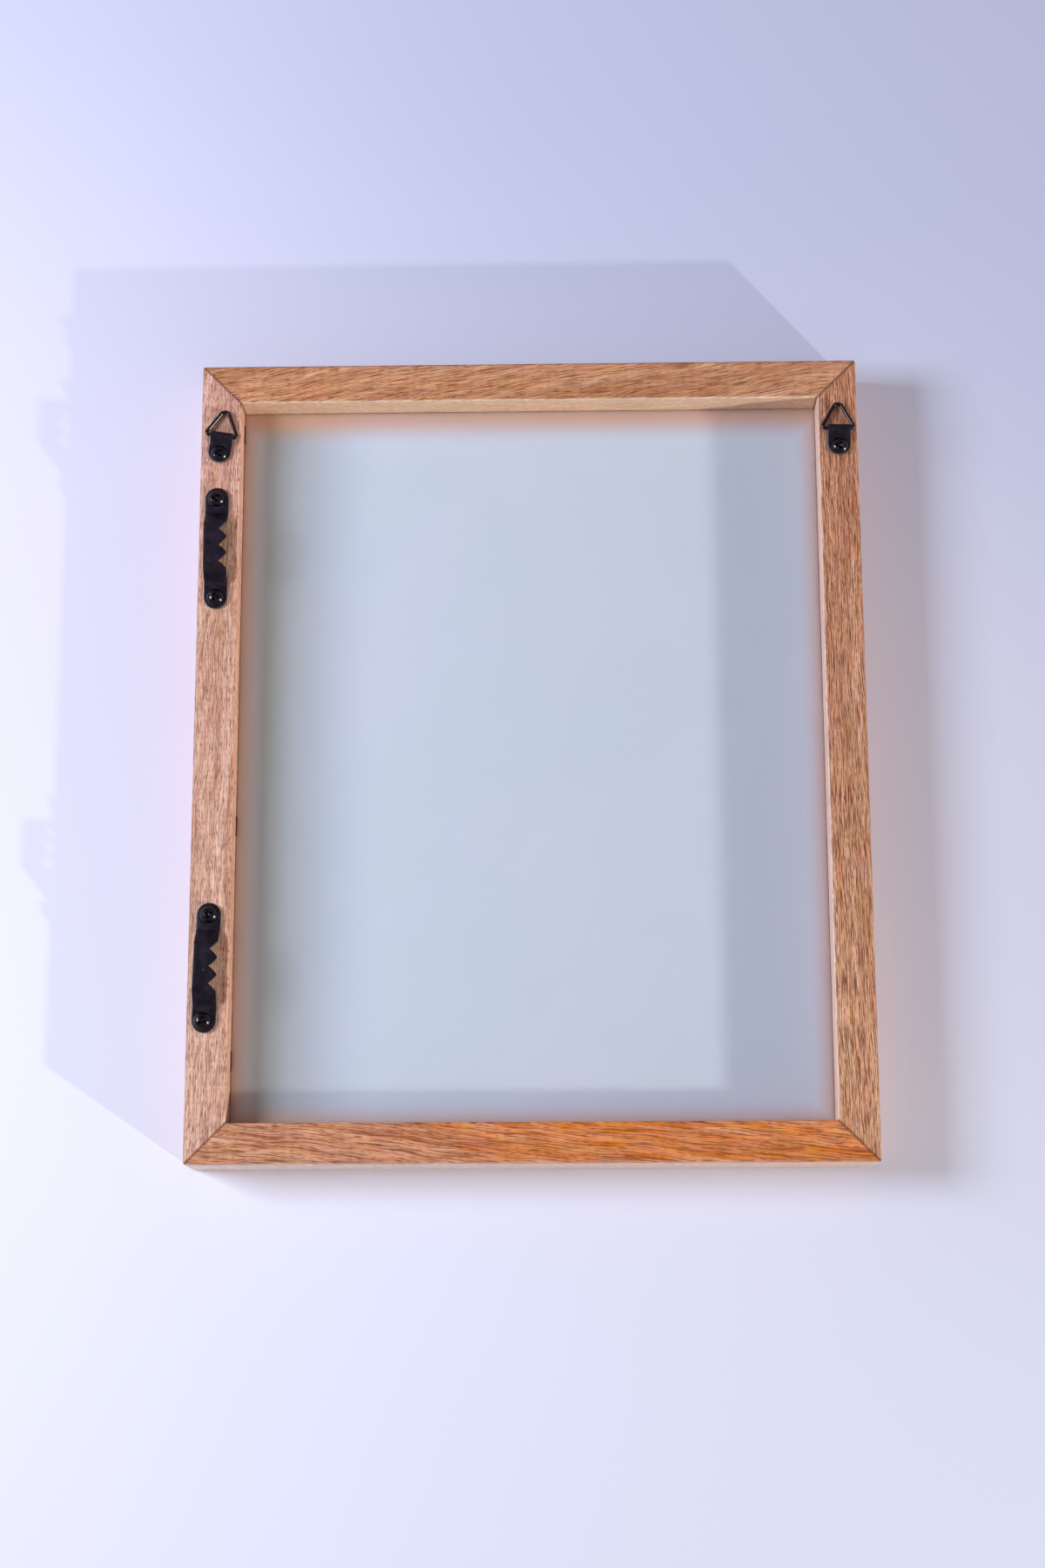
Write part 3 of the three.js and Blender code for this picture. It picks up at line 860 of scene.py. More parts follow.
def bend_plate(mesh: bmesh.types.BMesh, line: BentLine, turn_step: float) -> None:
    """Bends a flat plate along a line that is drawn as (Y, Z).

    Args:
        mesh: the plate, flat about z = 0, with its length along Y from 0.
        line: the line that the middle of the plate follows.
        turn_step: the largest turn between two cuts, in radians.
    """
    for place in line.stations(turn_step, longest=1.5)[1:-1]:
        geometry = [*mesh.verts, *mesh.edges, *mesh.faces]
        bmesh.ops.bisect_plane(
            mesh, geom=geometry, dist=1e-5, plane_co=(0, place, 0), plane_no=(0, 1, 0)
        )
    for vert in mesh.verts:
        point, way = line.at(vert.co.y)
        rise = vert.co.z
        vert.co = (vert.co.x, point.x - way.y * rise, point.y + way.x * rise)


def cut(body: bmesh.types.BMesh, tool: bmesh.types.BMesh) -> bmesh.types.BMesh:
    """Cuts one closed mesh out of another.

    Args:
        body: the mesh that is cut.
        tool: the mesh that is cut out of it.

    Returns:
        What is left of the body.
    """
    holders = []
    for part in (body, tool):
        data = bpy.data.meshes.new("part")
        part.to_mesh(data)
        part.free()
        holder = bpy.data.objects.new("part", data)
        bpy.context.scene.collection.objects.link(holder)
        holders.append(holder)
    difference = holders[0].modifiers.new("cut", "BOOLEAN")
    difference.operation = "DIFFERENCE"
    difference.solver = "EXACT"
    difference.object = holders[1]
    bpy.context.view_layer.update()
    left = holders[0].evaluated_get(bpy.context.evaluated_depsgraph_get())
    mesh = bmesh.new()
    mesh.from_mesh(left.to_mesh())
    left.to_mesh_clear()
    for holder in holders:
        bpy.data.objects.remove(holder)
    return mesh


@dataclass
class Piece:
    """A mesh with its name, its place, its body and its finish."""

    name: str
    mesh: bmesh.types.BMesh
    place: Matrix
    body: Body
    slot: Slot
    material: bpy.types.Material
    node: str
    sharp: float = 32.0

    def make(self) -> None:
        """Puts the piece in the scene, in place of its node."""
        self.mesh.transform(Matrix.Scale(MM, 4) @ self.place)
        limit = math.radians(self.sharp)
        for face in self.mesh.faces:
            face.smooth = True
        for edge in self.mesh.edges:
            edge.smooth = edge.is_manifold and edge.calc_face_angle(0.0) < limit
        data = bpy.data.meshes.new(self.name)
        self.mesh.to_mesh(data)
        self.mesh.free()
        data.materials.append(self.material)
        piece = bpy.data.objects.new(self.name, data)
        bpy.context.scene.collection.objects.link(piece)
        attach(piece, self.body.value)
        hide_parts(self.node)
        LOG.info("%s: %d faces, instead of %s", self.name, len(data.polygons), self.node)


def box_of(node: str) -> tuple[Vector, Vector]:
    """The lowest and highest corner of a node, in millimetres."""
    low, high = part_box(node)
    return low / MM, high / MM


def middle_of(node: str) -> Vector:
    """The middle of a node's box, in millimetres."""
    low, high = box_of(node)
    return (low + high) / 2


# Sub-assemblies


@dataclass
class Rails:
    """The four mitred rails."""

    width: float = 14.0
    # a painted shade on the outer back edge, then the dark seam at each mitre
    burnt: float = 0.45
    seam: float = 0.5
    seam_colour: Colour = rgb(96, 54, 38)
    # how much of the light, dark and pore tones the painted sheen covers
    pale_parts: tuple[float, float, float] = (1.0, 0.8, 0.6)
    shine: float = 0.2
    coat: float = 0.25
    coat_roughness: float = 0.25
    grain: Grain = field(default_factory=Grain)
    edges: RailEdges = field(default_factory=RailEdges)
    drift: ToneDrift = field(default_factory=ToneDrift)

    def finishes(self) -> dict[str, WoodFinish]:
        """Chooses the wood.

        Returns:
            The finish of each rail.
        """
        tan = Tone(rgb(252, 205, 178), rgb(224, 169, 138), rgb(134, 70, 44))
        rose = Tone(rgb(254, 203, 180), rgb(224, 165, 140), rgb(132, 62, 40))
        umber = Tone(rgb(252, 188, 148), rgb(214, 146, 108), rgb(102, 38, 10))
        copper = Tone(rgb(255, 206, 163), rgb(238, 170, 127), rgb(112, 48, 16))
        straw = Tone(rgb(248, 178, 136), rgb(212, 140, 100), rgb(98, 38, 8))
        orange = Tone(rgb(255, 165, 99), rgb(228, 129, 63), rgb(132, 56, 14))
        amber = Tone(rgb(251, 190, 149), rgb(217, 154, 113), rgb(136, 72, 38))
        honey = Tone(rgb(242, 177, 132), rgb(205, 139, 95), rgb(120, 54, 18))
        return {
            "left": WoodFinish(
                rose,
                tan,
                (-110, -40),
                Figure(
                    slant=0.03, line=0.62, pore_length=4.0, pore_gap=0.72, pore_share=0.65, seed=3.7
                ),
            ),
            "right": WoodFinish(
                copper,
                umber,
                (-120, 40),
                Figure(
                    slant=-0.02, line=0.85, pore_length=5.5, pore_gap=0.85, pore_share=0.9, seed=21.3
                ),
                # painted pale sheen on the inner wall and on the outer side
                wall=rgb(255, 216, 194),
                wall_share=1.0,
                side=rgb(204, 178, 170),
                side_share=0.6,
            ),
            "bottom": WoodFinish(
                straw,
                orange,
                (-60, 40),
                Figure(
                    slant=0.11, line=0.7, pore_length=6.5, pore_gap=0.8, pore_share=0.6, seed=47.9
                ),
                # painted pale sheen on the outer side
                side=rgb(248, 226, 210),
                side_share=0.85,
            ),
            "top": WoodFinish(
                amber,
                honey,
                (-110, 30),
                Figure(
                    slant=-0.16, line=0.75, pore_length=6.0, pore_gap=0.85, pore_share=0.6, seed=71.1
                ),
                # painted pale sheen on the inner wall
                wall_share=1.0,
            ),
        }

    def dress(self) -> None:
        """Gives each rail its own wood, with its painted sheen and painted edge shade."""
        turns = {"bottom": 0.0, "right": math.pi / 2, "top": math.pi, "left": -math.pi / 2}
        for name, finish in self.finishes().items():
            node = f"{name}_rail"
            coat(node, self.material(node, finish, turns[name]))

    def material(self, node: str, finish: WoodFinish, turn: float) -> bpy.types.Material:
        """Makes one rail's material.

        Args:
            node: the rail's node, which names the material.
            finish: the rail's figure and colours.
            turn: the way that the rail points, in radians from +X.

        Returns:
            The material.
        """
        low, high = box_of(node)
        outward = Vector((math.sin(turn), -math.cos(turn)))
        outer = max(outward.dot(corner.to_2d()) for corner in (low, high))
        half_length = max(high.x - low.x, high.y - low.y) / 2
        material, tree, shader = new_material(node)
        place = in_millimetres(tree, turn, outer)
        masks = self.edges.place(
            tree, Vector=place, Half_length=half_length, Width=self.width, Depth=high.z
        )
        change = dict(zip(("From", "To"), finish.change))
        drift = self.drift.place(tree, Vector=place, Lean=finish.lean, **change)["Share"]
        tones = [
            tree.blend(drift, base, other)
            for base, other in zip(astuple(finish.base), astuple(finish.other))
        ]
        # Painted pale sheen over the inner wall and the outer side
        for mask, share, pale in (
            (masks["Wall"], finish.wall_share, finish.wall),
            (masks["Side"], finish.side_share, finish.side),
        ):
            tones = [
                tree.blend(tree.times(mask, share * part), tone, pale)
                for tone, part in zip(tones, self.pale_parts)
            ]
        colours = dict(zip(("Light", "Dark", "Pore"), tones))
        wood = self.grain.place(tree, Vector=place, **colours, **finish.figure.inputs())
        # Painted shade along the outer back edge
        burnt = tree.blend(tree.times(masks["Edge"], self.burnt), wood["Color"], finish.edge)
        seam = tree.times(masks["Joint"], self.seam)
        tree.feed(shader, {
            "Base Color": tree.blend(seam, burnt, self.seam_colour),
            "Roughness": wood["Roughness"],
            "Specular IOR Level": self.shine,
            "Coat Weight": self.coat,
            "Coat Roughness": self.coat_roughness,
            "Normal": bumped(tree, wood["Height"], 1.0),
        })
        return material


@dataclass(frozen=True)
class FrostedSheet:
    """The translucent sheet in the rabbet."""

    colour: Colour = rgb(217, 227, 241)
    cloud: Colour = rgb(221, 227, 246)
    clouds: float = 0.016  # how many to a millimetre
    cloudy: tuple[float, float] = (0.35, 0.65)
    grits: float = 5.0
    grit_depth: float = 0.004
    roughness: float = 0.42
    spread: float = 0.1
    # painted shade over the left side and where it fades, then a painted strip of light by the wall
    shade: Colour = rgb(173, 174, 171)
    shaded: tuple[float, float] = (8.0, 52.0)
    lit_edge: tuple[float, float] = (4.0, 12.0)
    lit_share: float = 0.4
    # painted glow of the wood: the lip seen through the sheet and light bounced off the lit top wall
    wood_behind: Colour = rgb(212, 152, 108)
    behind_share: float = 0.75
    wide: float = 7.3
    narrow: float = 3.0
    blur: float = 5.5
    depth: float = 7.5
    bending: float = 1.49

    def dress(self) -> None:
        """Gives the sheet its frosted, light-scattering finish, with painted light, shade and wood
        glow.
        """
        node = "frosted_sheet"
        material, tree, shader = new_material(node)
        place = in_millimetres(tree)
        cloud = tree.noise(place, self.clouds, 2.0).outputs[0]
        grit = tree.noise(place, self.grits, 2.0).outputs[0]
        plain = tree.blend(tree.step(cloud, *self.cloudy), self.colour, self.cloud)
        # Painted shade over the left side, with a painted strip of light next to the left wall
        from_wall = tree.minus(tree.split(place)[0], box_of(node)[0].x)
        dim = tree.inverse(tree.step(from_wall, *self.lit_edge))
        sunlit = tree.step(from_wall, *self.shaded)
        lit = tree.math("MAXIMUM", sunlit, tree.times(dim, self.lit_share))
        shaded = tree.blend(lit, self.shade, plain)
        # Painted glow of the wood: the lip seen through the sheet and light bounced off the lit top
        # wall
        wood_glow = tree.times(self.lip_mask(tree, place), self.behind_share)
        tree.feed(shader, {
            "Base Color": tree.blend(wood_glow, shaded, self.wood_behind),
            "Roughness": tree.scaled(grit, self.spread, self.roughness),
            "Subsurface Weight": 1.0,
            "Subsurface Radius": (1.0, 1.0, 1.0),
            "Subsurface Scale": self.depth * MM,
            "IOR": self.bending,
            "Normal": bumped(tree, grit, self.grit_depth),
        })
        coat(node, material)

    def lip_mask(self, tree: Tree, place: Socket) -> Socket:
        """Painted wood glow: the lip seen through, and light from the lit top wall, so widest at the
        top.

        Args:
            tree: the material's tree.
            place: the place in the frame, in millimetres.

        Returns:
            A mask that is 1 over the lip and fades inside it.
        """
        low, high = box_of("frosted_sheet")
        x, y, _ = tree.split(place)
        to_side = tree.math("MINIMUM", tree.minus(x, low.x), tree.minus(high.x, x))
        to_shaded = tree.math("MINIMUM", to_side, tree.minus(y, low.y))
        seen = [
            tree.step(distance, middle - self.blur, middle + self.blur)
            for distance, middle in ((tree.minus(high.y, y), self.wide), (to_shaded, self.narrow))
        ]
        return tree.inverse(tree.math("MINIMUM", *seen))


@dataclass(frozen=True)
class CornerPins:
    """The nails that pin each mitre, of which only the heads can be seen."""

    bright: Colour = rgb(150, 150, 152)
    dull: Colour = rgb(112, 110, 108)
    marks: float = 4.0  # how many to a millimetre
    mark_depth: float = 0.01
    roughness: float = 0.3
    spread: float = 0.2

    def dress(self) -> None:
        """Gives every pin its drawn-steel finish."""
        material, tree, shader = new_material("pin_steel")
        drawn = tree.noise(in_millimetres(tree), self.marks, 2.0).outputs[0]
        tree.feed(shader, {
            "Base Color": tree.blend(drawn, self.bright, self.dull),
            "Metallic": 1.0,
            "Roughness": tree.scaled(drawn, self.spread, self.roughness),
            "Normal": bumped(tree, drawn, self.mark_depth),
        })
        for node in frame["nodes"]:
            if node.startswith("corner_pin"):
                coat(node, material)


@dataclass(frozen=True)
class Screw:
    """A round-head screw with a cross recess."""

    head_radius: float = 2.95
    head_height: float = 2.1
    rim: float = 0.45
    rim_ease: float = 0.18
    shank_radius: float = 1.25
    shank_length: float = 12.0
    point: float = 3.2
    recess_span: float = 4.1
    recess_floor: float = 1.6
    recess_wing: float = 1.0
    recess_depth: float = 1.35
    recess_tip: float = 0.3
    recess_heart: float = 0.62
    recess_taper: tuple[float, float] = (0.7, 1.15)
    facets: int = 64
    dome_rings: int = 16
    first_ring: float = 0.4

    def profile(self) -> Section:
        """Draws the screw's half outline.

        Returns:
            The outline, from the screw's point to the top of its dome.
        """
        rise = self.head_height - self.rim
        dome = (self.head_radius**2 + rise**2) / (2 * rise)
        ease = self.rim_ease
        points = [(0.0, -self.shank_length), (self.shank_radius, self.point - self.shank_length)]
        points += [(self.shank_radius, 0.0), (self.head_radius - ease, 0.0)]
        points += [(self.head_radius, ease), (self.head_radius, self.rim - ease / 2)]
        for i in range(self.dome_rings):
            angle = (i + self.first_ring) / self.dome_rings * math.pi / 2
            radius = self.head_radius * math.cos(angle)
            points.append((radius, self.head_height - dome + math.sqrt(dome**2 - radius**2)))
        return [*points, (0.0, self.head_height)]

    def recess(self) -> bmesh.types.BMesh:
        """Makes what is cut out of the head: tapered wings round a deeper middle.

        Returns:
            The closed mesh of the cross.
        """
        floor, over = self.head_height - self.recess_depth, 1.0
        low_half = self.recess_floor / 2
        spread = self.recess_span / 2 - low_half
        high_half = low_half + spread * (self.recess_depth + over) / self.recess_depth
        mesh = bmesh.new()
        rows = []
        for half, z, taper in zip(
            (low_half, high_half), (floor, self.head_height + over), self.recess_taper
        ):
            wing, heart = self.recess_wing / 2 * taper, self.recess_wing * self.recess_heart * taper
            row = []
            for quarter in range(4):
                turn = Matrix.Rotation(quarter * math.pi / 2, 2)
                for point in ((half, -wing), (half, wing), (heart, heart)):
                    row.append(mesh.verts.new((*(turn @ Vector(point)), z)))
            rows.append(row)
        mesh.faces.new(rows[1])
        tip = mesh.verts.new((0, 0, floor - self.recess_tip))
        for first, second in zip(rows[0], rows[0][1:] + rows[0][:1]):
            mesh.faces.new((tip, first, second))
        return walled(mesh, rows)

    def make(self, node: str, cross: float, material: bpy.types.Material) -> None:
        """Puts a screw in place of a node.

        Args:
            node: the node that it stands for.
            cross: the turn of its recess, in degrees.
            material: its finish.
        """
        middle, top = middle_of(node), box_of(node)[1].z
        place = Matrix.Translation((middle.x, middle.y, top - self.head_height))
        place = place @ Matrix.Rotation(math.radians(cross), 4, "Z")
        mesh = cut(turned(self.profile(), self.facets), self.recess())
        name = node.replace("screw", "round_screw")
        Piece(name, mesh, place, Body.FRAME, Slot.BLACK_GLOSS, material, node, sharp=28.0).make()


@dataclass(frozen=True)
class SawtoothHanger:
    """A formed plate with a raised, notched bridge, and the two screws that hold it."""

    name: str
    turn: float
    crosses: tuple[float, float]
    length: float = 44.4
    width: float = 8.15
    plate: float = 1.0
    rise: float = 3.9
    bridge: float = 15.4
    ramp: float = 5.0
    bend: float = 2.0
    notch_pitch: float = 5.9
    notch_depth: float = 2.8
    notches: int = 3
    land: float = 0.35
    belly: float = 0.18
    hole_inset: float = 4.05
    hole: float = 1.95
    ease: float = 0.16
    flank_steps: int = 5

    def side(self) -> BentLine:
        """Draws the plate from its side.

        Returns:
            The line that the middle of the plate follows, as (Y, Z).
        """
        low, high = self.plate / 2, self.plate / 2 + self.rise
        foot = self.bridge / 2 + self.ramp
        half, end = self.bridge / 2, self.length / 2
        corners = [(-end, low), (-foot, low), (-half, high), (half, high), (foot, low), (end, low)]
        return BentLine.through(corners, [self.bend] * 4)

    def outline(self, flat_length: float) -> Section:
        """Draws the plate before it is bent, with round ends and bellied teeth.

        Args:
            flat_length: the length of the plate before it is bent.

        Returns:
            The outline, with its length along Y from 0.
        """
        half, end = self.width / 2, flat_length / 2 - self.width / 2
        points = []
        reach = (self.notch_pitch - self.land) / 2
        for i in range(self.notches):
            middle = (i - (self.notches - 1) / 2) * self.notch_pitch
            bottom = (half - self.notch_depth, middle)
            points += self.flank((half, middle - reach), bottom)
            points.append(bottom)
            points += self.flank(bottom, (half, middle + reach))
        points += arc((0.0, end), half, 0, 180, ROUND_STEPS)
        points += arc((0.0, -end), half, 180, 360, ROUND_STEPS)
        return [(x, y + flat_length / 2) for x, y in points]

    def flank(self, start: tuple[float, float], end: tuple[float, float]) -> Section:
        """Draws one side of a notch, which bulges a little into it.

        Args:
            start: where the side starts.
            end: where it ends.

        Returns:
            Points along the side, without the one at the bottom of the notch.
        """
        first, last = Vector(start), Vector(end)
        way = last - first
        out = Vector((way.y, -way.x)).normalized()
        skipped = 0 if first.x > last.x else 1
        points = []
        for i in range(self.flank_steps):
            share = (i + skipped) / self.flank_steps
            swell = self.belly * math.sin(share * math.pi)
            points.append(tuple(first + way * share + out * swell))
        return points

    def make(self, plate_finish: bpy.types.Material, screw_finish: bpy.types.Material) -> None:
        """Puts the plate and its screws in place of their nodes.

        Args:
            plate_finish: the plate's finish.
            screw_finish: the screws' finish.
        """
        node = f"sawtooth_hanger_{self.name}"
        middle = middle_of(node)
        place = Matrix.Translation((middle.x, middle.y, box_of(node)[0].z))
        place = place @ Matrix.Rotation(math.radians(self.turn), 4, "Z")
        side = self.side()
        holes = end_holes(self.hole, self.hole_inset, side.length)
        mesh = sheet_plate([self.outline(side.length), *holes], self.plate, self.ease)
        bend_plate(mesh, side, turn_step=math.radians(4))
        name = f"sawtooth_plate_{self.name}"
        Piece(name, mesh, place, Body.FRAME, Slot.BLACK_PLATE, plate_finish, node).make()
        for end, cross in zip(("top", "bottom"), self.crosses):
            Screw().make(f"sawtooth_screw_{self.name}_{end}", cross + self.turn, screw_finish)


@dataclass(frozen=True)
class StrapHanger:
    """A strip folded round the bar of a wire ring, with the ring and one screw."""

    name: str
    cross: float
    body: Body
    width: float = 7.9
    plate: float = 0.5
    layer_gap: float = 0.1
    end: float = 3.0
    loop: float = 1.15
    fall: float = math.radians(35)
    knee: float = 2.4
    hole: float = 1.4
    skew: float = 0.22
    ease: float = 0.12
    wire: float = 1.3
    bar: float = 11.8
    height: float = 11.0
    foot_bend: float = 0.9
    apex_bend: float = 1.6
    joint_gap: float = 0.2
    wire_sides: int = 28

    def side(self, reach: float) -> BentLine:
        """The line that the middle of the strip follows, as (Y, Z) with the screw at Y = 0.

        Args:
            reach: how far the ring's bar is from the screw.

        Returns:
            The line, from the end of the lower layer round to the end of the upper one.
        """
        low = self.plate / 2
        high = low + self.plate + self.layer_gap
        drop = self.loop * (1 + math.cos(self.fall)) + low - high
        cut_back = self.knee * math.tan(self.fall / 2)
        leave = reach - self.loop * math.sin(self.fall)
        knee = leave - drop / math.tan(self.fall)
        stretches = [
            Stretch(self.end + reach),
            Stretch(self.loop * (math.pi + self.fall), math.pi + self.fall),
            Stretch(drop / math.sin(self.fall) - cut_back),
            Stretch(self.knee * self.fall, -self.fall),
            Stretch(knee - cut_back + self.end),
        ]
        return BentLine(Vector((-self.end, low)), 0.0, stretches)

    def outline(self, length: float, reach: float) -> Section:
        """The strip's outline before it is folded, round at both ends.

        Args:
            length: the length of the strip.
            reach: how far the ring's bar is from the screw.

        Returns:
            The outline, whose lower layer sticks out a little on one side.
        """
        half, lean = self.width / 2, self.skew / 2
        upper = arc((0.0, length - half), half, 0, 180, ROUND_STEPS)
        side = [(-half, self.end + reach + 3 * self.loop), (-half - self.skew, self.end + reach)]
        return upper + side + arc((-lean, half), half + lean, 180, 360, ROUND_STEPS)

    def make(self, plate_finish: bpy.types.Material, gloss: bpy.types.Material) -> None:
        """Puts the strap, its ring and its screw in place of their nodes.

        Args:
            plate_finish: the strap's finish.
            gloss: the finish of the ring and the screw.
        """
        strap, screw = f"strap_hanger_{self.name}", f"strap_screw_{self.name}"
        hinge = next(j for j in frame["joints"] if j["child"] == self.body.value)
        axis, pivot = Vector(hinge["axis"]), Vector(hinge["pos_m"]) / MM
        turn = math.atan2(axis.y, axis.x)
        middle, base = middle_of(screw), box_of(strap)[0].z
        to_bar = Matrix.Rotation(-turn, 2) @ (pivot - middle).to_2d()
        place = Matrix.Translation((middle.x, middle.y, base)) @ Matrix.Rotation(turn, 4, "Z")
        side = self.side(to_bar.y)
        holes = end_holes(self.hole, self.end, side.length)
        outline = self.outline(side.length, to_bar.y)
        mesh = sheet_plate([outline, *holes], self.plate, self.ease)
        bend_plate(mesh, side, turn_step=math.radians(6))
        name = f"strap_{self.name}"
        Piece(name, mesh, place, Body.FRAME, Slot.BLACK_PLATE, plate_finish, strap).make()
        self.make_ring(pivot, turn, gloss)
        Screw().make(screw, self.cross + math.degrees(turn), gloss)

    def make_ring(self, pivot: Vector, turn: float, finish: bpy.types.Material) -> None:
        """Puts the wire ring in place of its node, lying on the rail.

        Args:
            pivot: the middle of the ring's bar.
            turn: the turn of the strap, in radians.
            finish: the ring's finish.
        """
        node = f"hanging_ring_{self.name}"
        half, gap = self.bar / 2, self.joint_gap / 2
        corners = [(gap, 0.0), (half, 0.0), (0.0, self.height), (-half, 0.0), (-gap, 0.0)]
        line = BentLine.through(corners, [self.foot_bend, self.apex_bend, self.foot_bend])
        section = round_section(self.wire / 2, self.wire_sides)
        mesh = swept(line, section, ease=0.12, turn_step=math.radians(6))
        lean = math.atan2(half, self.height)
        reach = self.height + self.apex_bend * (1 - 1 / math.sin(lean))
        drop = math.asin((pivot.z - self.wire / 2 - box_of(node)[0].z) / reach)
        place = Matrix.Translation(pivot) @ Matrix.Rotation(turn, 4, "Z")
        place = place @ Matrix.Rotation(-drop, 4, "X")
        name = f"wire_ring_{self.name}"
        Piece(name, mesh, place, self.body, Slot.BLACK_GLOSS, finish, node, sharp=40.0).make()


@dataclass(frozen=True)
class Staples:
    """The flattened wire staples that keep the sheet in."""

    wire: float = 0.45
    corner: float = 0.15
    bend: float = 0.3

    def make(self, finish: bpy.types.Material) -> None:
        """Puts each staple in place of its node.

        Args:
            finish: their finish.
        """
        for which in ("upper", "middle", "lower"):
            node = f"sheet_staple_{which}"
            low, high = box_of(node)
            size = high - low
            reach, half = size.x - self.wire / 2, (size.y - self.wire) / 2
            corners = [(-reach, -half), (0.0, -half), (0.0, half), (-reach, half)]
            line = BentLine.through(corners, [self.bend, self.bend])
            section = oblong_section(self.wire, size.z, self.corner)
            mesh = swept(line, section, ease=0.3, turn_step=math.radians(10))
            middle = middle_of(node)
            place = Matrix.Translation((high.x - self.wire / 2, middle.y, middle.z))
            name = f"staple_{which}"
            Piece(name, mesh, place, Body.FRAME, Slot.DARK_WIRE, finish, node).make()


# The studio


@dataclass(frozen=True)
class Lamp:
    """A soft square lamp, aimed at the middle of the frame."""

    name: str
    towards: tuple[float, float]
    elevation: float
    distance: float
    size: float
    watts: float
    colour: tuple[float, float, float]
    on_floor: bool = True
    on_frame: bool = True

    def make(self, floor: bpy.types.Object) -> None:
        """Hangs the lamp.

        Args:
            floor: the floor, which a lamp can light alone or leave out.
        """
        data = bpy.data.lights.new(self.name, "AREA")
        data.shape = "SQUARE"
        data.size = self.size
        data.energy = self.watts
        data.color = self.colour
        lamp = bpy.data.objects.new(self.name, data)
        flat = Vector(self.towards).normalized() * math.cos(math.radians(self.elevation))
        way = Vector((*flat, math.sin(math.radians(self.elevation))))
        lamp.location = way * self.distance
        lamp.rotation_mode = "QUATERNION"
        lamp.rotation_quaternion = way.to_track_quat("Z", "Y")
        bpy.context.scene.collection.objects.link(lamp)
        if not (self.on_floor and self.on_frame):
            receivers = bpy.data.collections.new(f"{self.name} receivers")
            receivers.objects.link(floor)
            state = "INCLUDE" if self.on_floor else "EXCLUDE"
            receivers.collection_objects[0].light_linking.link_state = state
            lamp.light_linking.receiver_collection = receivers
        LOG.info("lamp %s", self.name)


@dataclass(frozen=True)
class Camera:
    """The camera, at the photograph's viewing angle."""

    centre: tuple[float, float, float] = (15.27, -213.3, 893.4)
    tilt: tuple[float, float, float] = (-0.2264, -0.0211, 0.0029)
    focal_pixels: float = 2990.0
    long_side_pixels: float = 1800.0
    sensor: float = 36.0
    clip: tuple[float, float] = (0.05, 20.0)

    def make(self) -> None:
        """Sets up the camera."""
        data = bpy.data.cameras.new("camera")
        data.sensor_width = self.sensor
        data.lens = self.focal_pixels * self.sensor / self.long_side_pixels
        data.clip_start, data.clip_end = self.clip
        camera = bpy.data.objects.new("camera", data)
        x, y, z = self.tilt
        to_camera = (
            Matrix.Rotation(x, 4, "X") @ Matrix.Rotation(y, 4, "Y") @ Matrix.Rotation(z, 4, "Z")
        )
        camera.matrix_world = Matrix.Translation(Vector(self.centre) * MM) @ to_camera.transposed()
        bpy.context.scene.collection.objects.link(camera)
        bpy.context.scene.camera = camera
        LOG.info("camera: lens %.2f mm", data.lens)


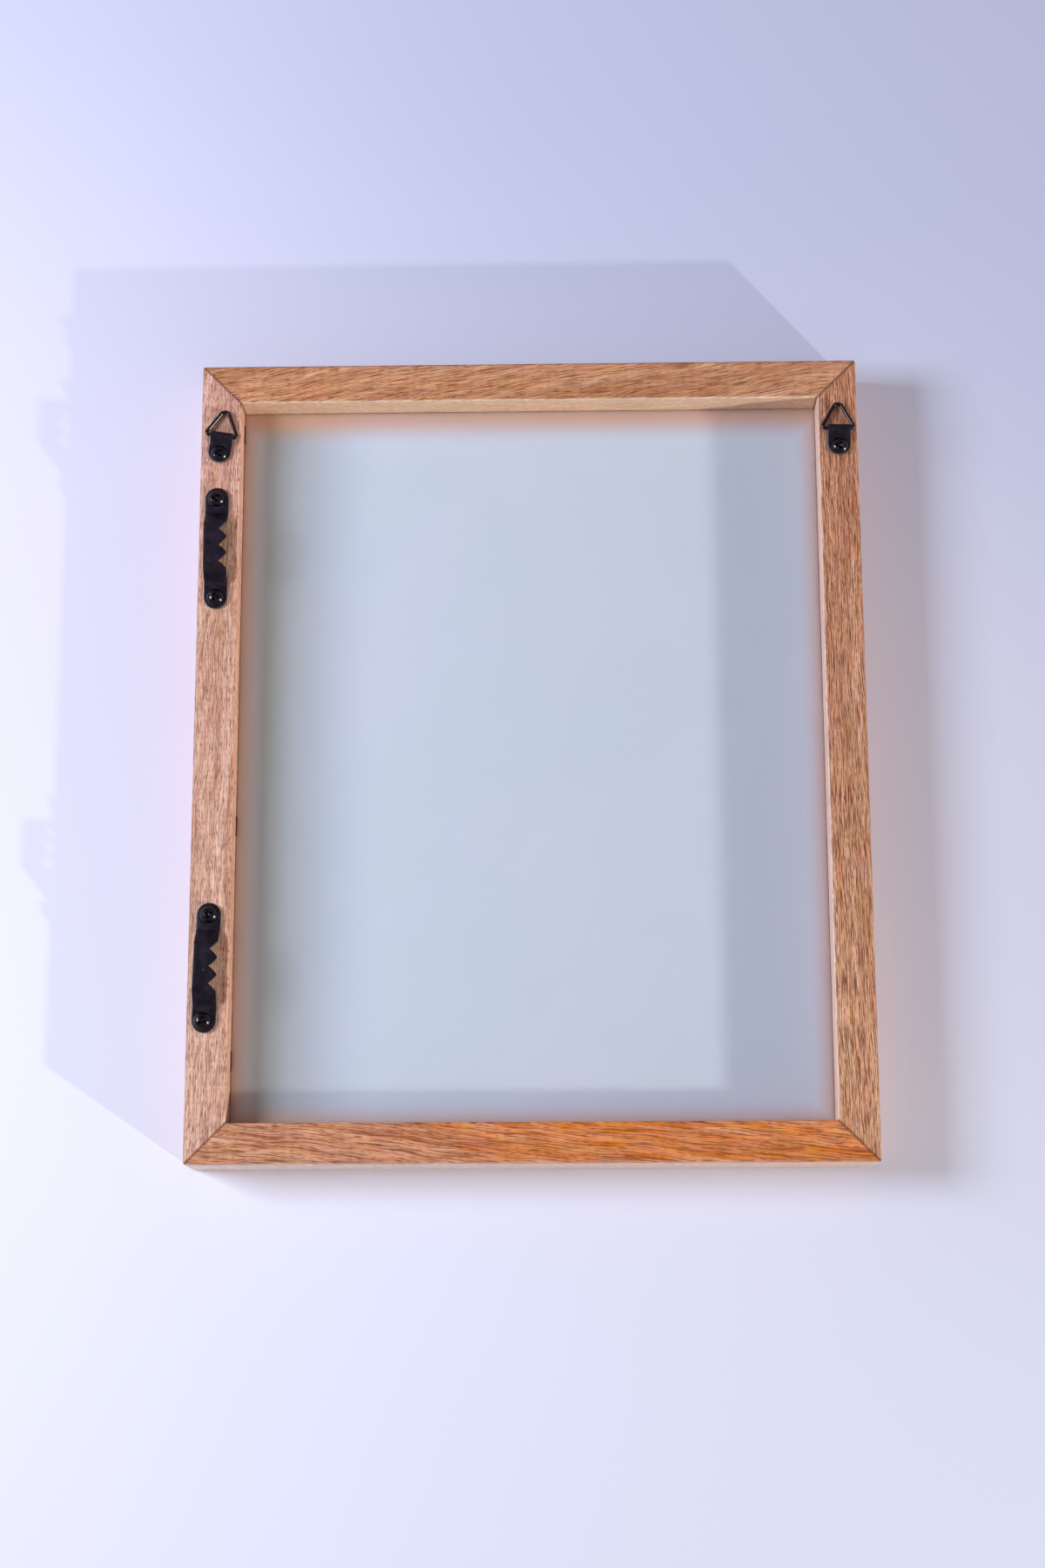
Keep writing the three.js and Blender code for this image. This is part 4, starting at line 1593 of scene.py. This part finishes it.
@dataclass(frozen=True)
class Studio:
    """A pale floor painted with light and shade, soft lamps and a pale world."""

    floor_half: float = 4000.0
    floor_drop: float = 0.05
    # painted light and shade, towards the bottom, in the middle and towards the top: lighter on the
    # left
    floor_left: tuple[Colour, Colour, Colour] = (
        rgb(250, 246, 255),
        rgb(245, 237, 250),
        rgb(228, 227, 247),
    )
    floor_right: tuple[Colour, Colour, Colour] = (
        rgb(246, 245, 255),
        rgb(236, 233, 246),
        rgb(220, 221, 244),
    )
    # where the left gives way to the right; the painted shade deepens towards the top, past the top
    # rail
    left_end: tuple[float, float] = (-190.0, 10.0)
    lean: float = 0.3
    middle: float = 30.0
    reach: float = 240.0
    floor_roughness: float = 0.85
    world: Colour = rgb(251, 247, 252)
    world_strength: float = 0.33
    lamps: tuple[Lamp, ...] = (
        Lamp(
            "key",
            towards=(3.56, -1.3),
            elevation=14.9,
            distance=2.6,
            size=0.11,
            watts=53.0,
            colour=(1.0, 0.99, 0.95),
            on_floor=False,
        ),
        Lamp(
            "low",
            towards=(1.09, -0.97),
            elevation=19.0,
            distance=1.54,
            size=0.03,
            watts=10.0,
            colour=(0.96, 0.97, 1.0),
            on_frame=False,
        ),
        Lamp(
            "side",
            towards=(-1.0, 0.08),
            elevation=36.0,
            distance=1.08,
            size=0.38,
            watts=10.4,
            colour=(0.7, 0.8, 1.0),
        ),
    )

    def make(self) -> None:
        """Builds the floor, the world and the lamps."""
        floor = self.make_floor()
        self.make_world()
        for lamp in self.lamps:
            lamp.make(floor)
        bpy.context.scene.view_settings.view_transform = "Standard"

    def make_floor(self) -> bpy.types.Object:
        """Lays the floor under the frame, with its colour painted with light and shade.

        Returns:
            The floor.
        """
        half = self.floor_half * MM
        corners = [(-half, -half), (half, -half), (half, half), (-half, half)]
        data = bpy.data.meshes.new("floor")
        drop = -self.floor_drop * MM
        data.from_pydata([(x, y, drop) for x, y in corners], [], [(0, 1, 2, 3)])
        material, tree, shader = new_material("floor")
        x, y, _ = tree.split(in_millimetres(tree))
        away = tree.scaled(x, self.lean, y)
        middle = tree.step(away, self.middle - self.reach, self.middle)
        far = tree.step(away, self.middle, self.middle + self.reach)
        left, right = (
            tree.blend(far, tree.blend(middle, colours[0], colours[1]), colours[2])
            for colours in (self.floor_left, self.floor_right)
        )
        colour = tree.blend(tree.step(x, *self.left_end), left, right)
        tree.feed(shader, {"Base Color": colour, "Roughness": self.floor_roughness})
        data.materials.append(material)
        floor = bpy.data.objects.new("floor", data)
        bpy.context.scene.collection.objects.link(floor)
        return floor

    def make_world(self) -> None:
        """Surrounds the frame with a pale, even light."""
        world = bpy.data.worlds.new("world")
        world.use_nodes = True
        light = {"Color": self.world, "Strength": self.world_strength}
        Tree(world.node_tree).feed(world.node_tree.nodes["Background"], light)
        bpy.context.scene.world = world


def main() -> None:
    """Dresses the frame piece by piece and builds the studio round it."""
    logging.basicConfig(level=logging.INFO, format="%(name)s: %(message)s")
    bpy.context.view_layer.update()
    Camera().make()
    Studio().make()
    scuffs = Scuffs()
    satin = DarkPaint(
        paint=rgb(18, 10, 18),
        rubbed=rgb(38, 29, 42),
        roughness=0.3,
        spread=0.2,
        speck_size=1.6,
        speck_share=0.03,
        peel=0.006,
        shine=0.2,
        # pale edges: paint worn to the metal, with a painted highlight
        worn=0.75,
    ).material("satin_black", scuffs)
    gloss = DarkPaint(
        paint=rgb(8, 2, 7),
        rubbed=rgb(14, 5, 12),
        roughness=0.16,
        spread=0.1,
        speck_size=1.1,
        speck_share=0.02,
        peel=0.002,
        shine=0.42,
    ).material("gloss_black", scuffs)
    bronze = DarkPaint(
        paint=rgb(84, 36, 18),
        rubbed=rgb(110, 52, 28),
        roughness=0.36,
        spread=0.2,
        speck_size=0.8,
        speck_share=0.05,
        peel=0.006,
        shine=0.5,
    ).material("dark_bronze", scuffs)
    Rails().dress()
    FrostedSheet().dress()
    CornerPins().dress()
    Staples().make(bronze)
    SawtoothHanger("upper", turn=0.4, crosses=(24.0, 71.0)).make(satin, gloss)
    SawtoothHanger("lower", turn=-1.5, crosses=(8.0, 63.0)).make(satin, gloss)
    StrapHanger("left", cross=38.0, body=Body.LEFT_RING).make(satin, gloss)
    StrapHanger("right", cross=12.0, body=Body.RIGHT_RING).make(satin, gloss)


if __name__ == "__main__":
    main()
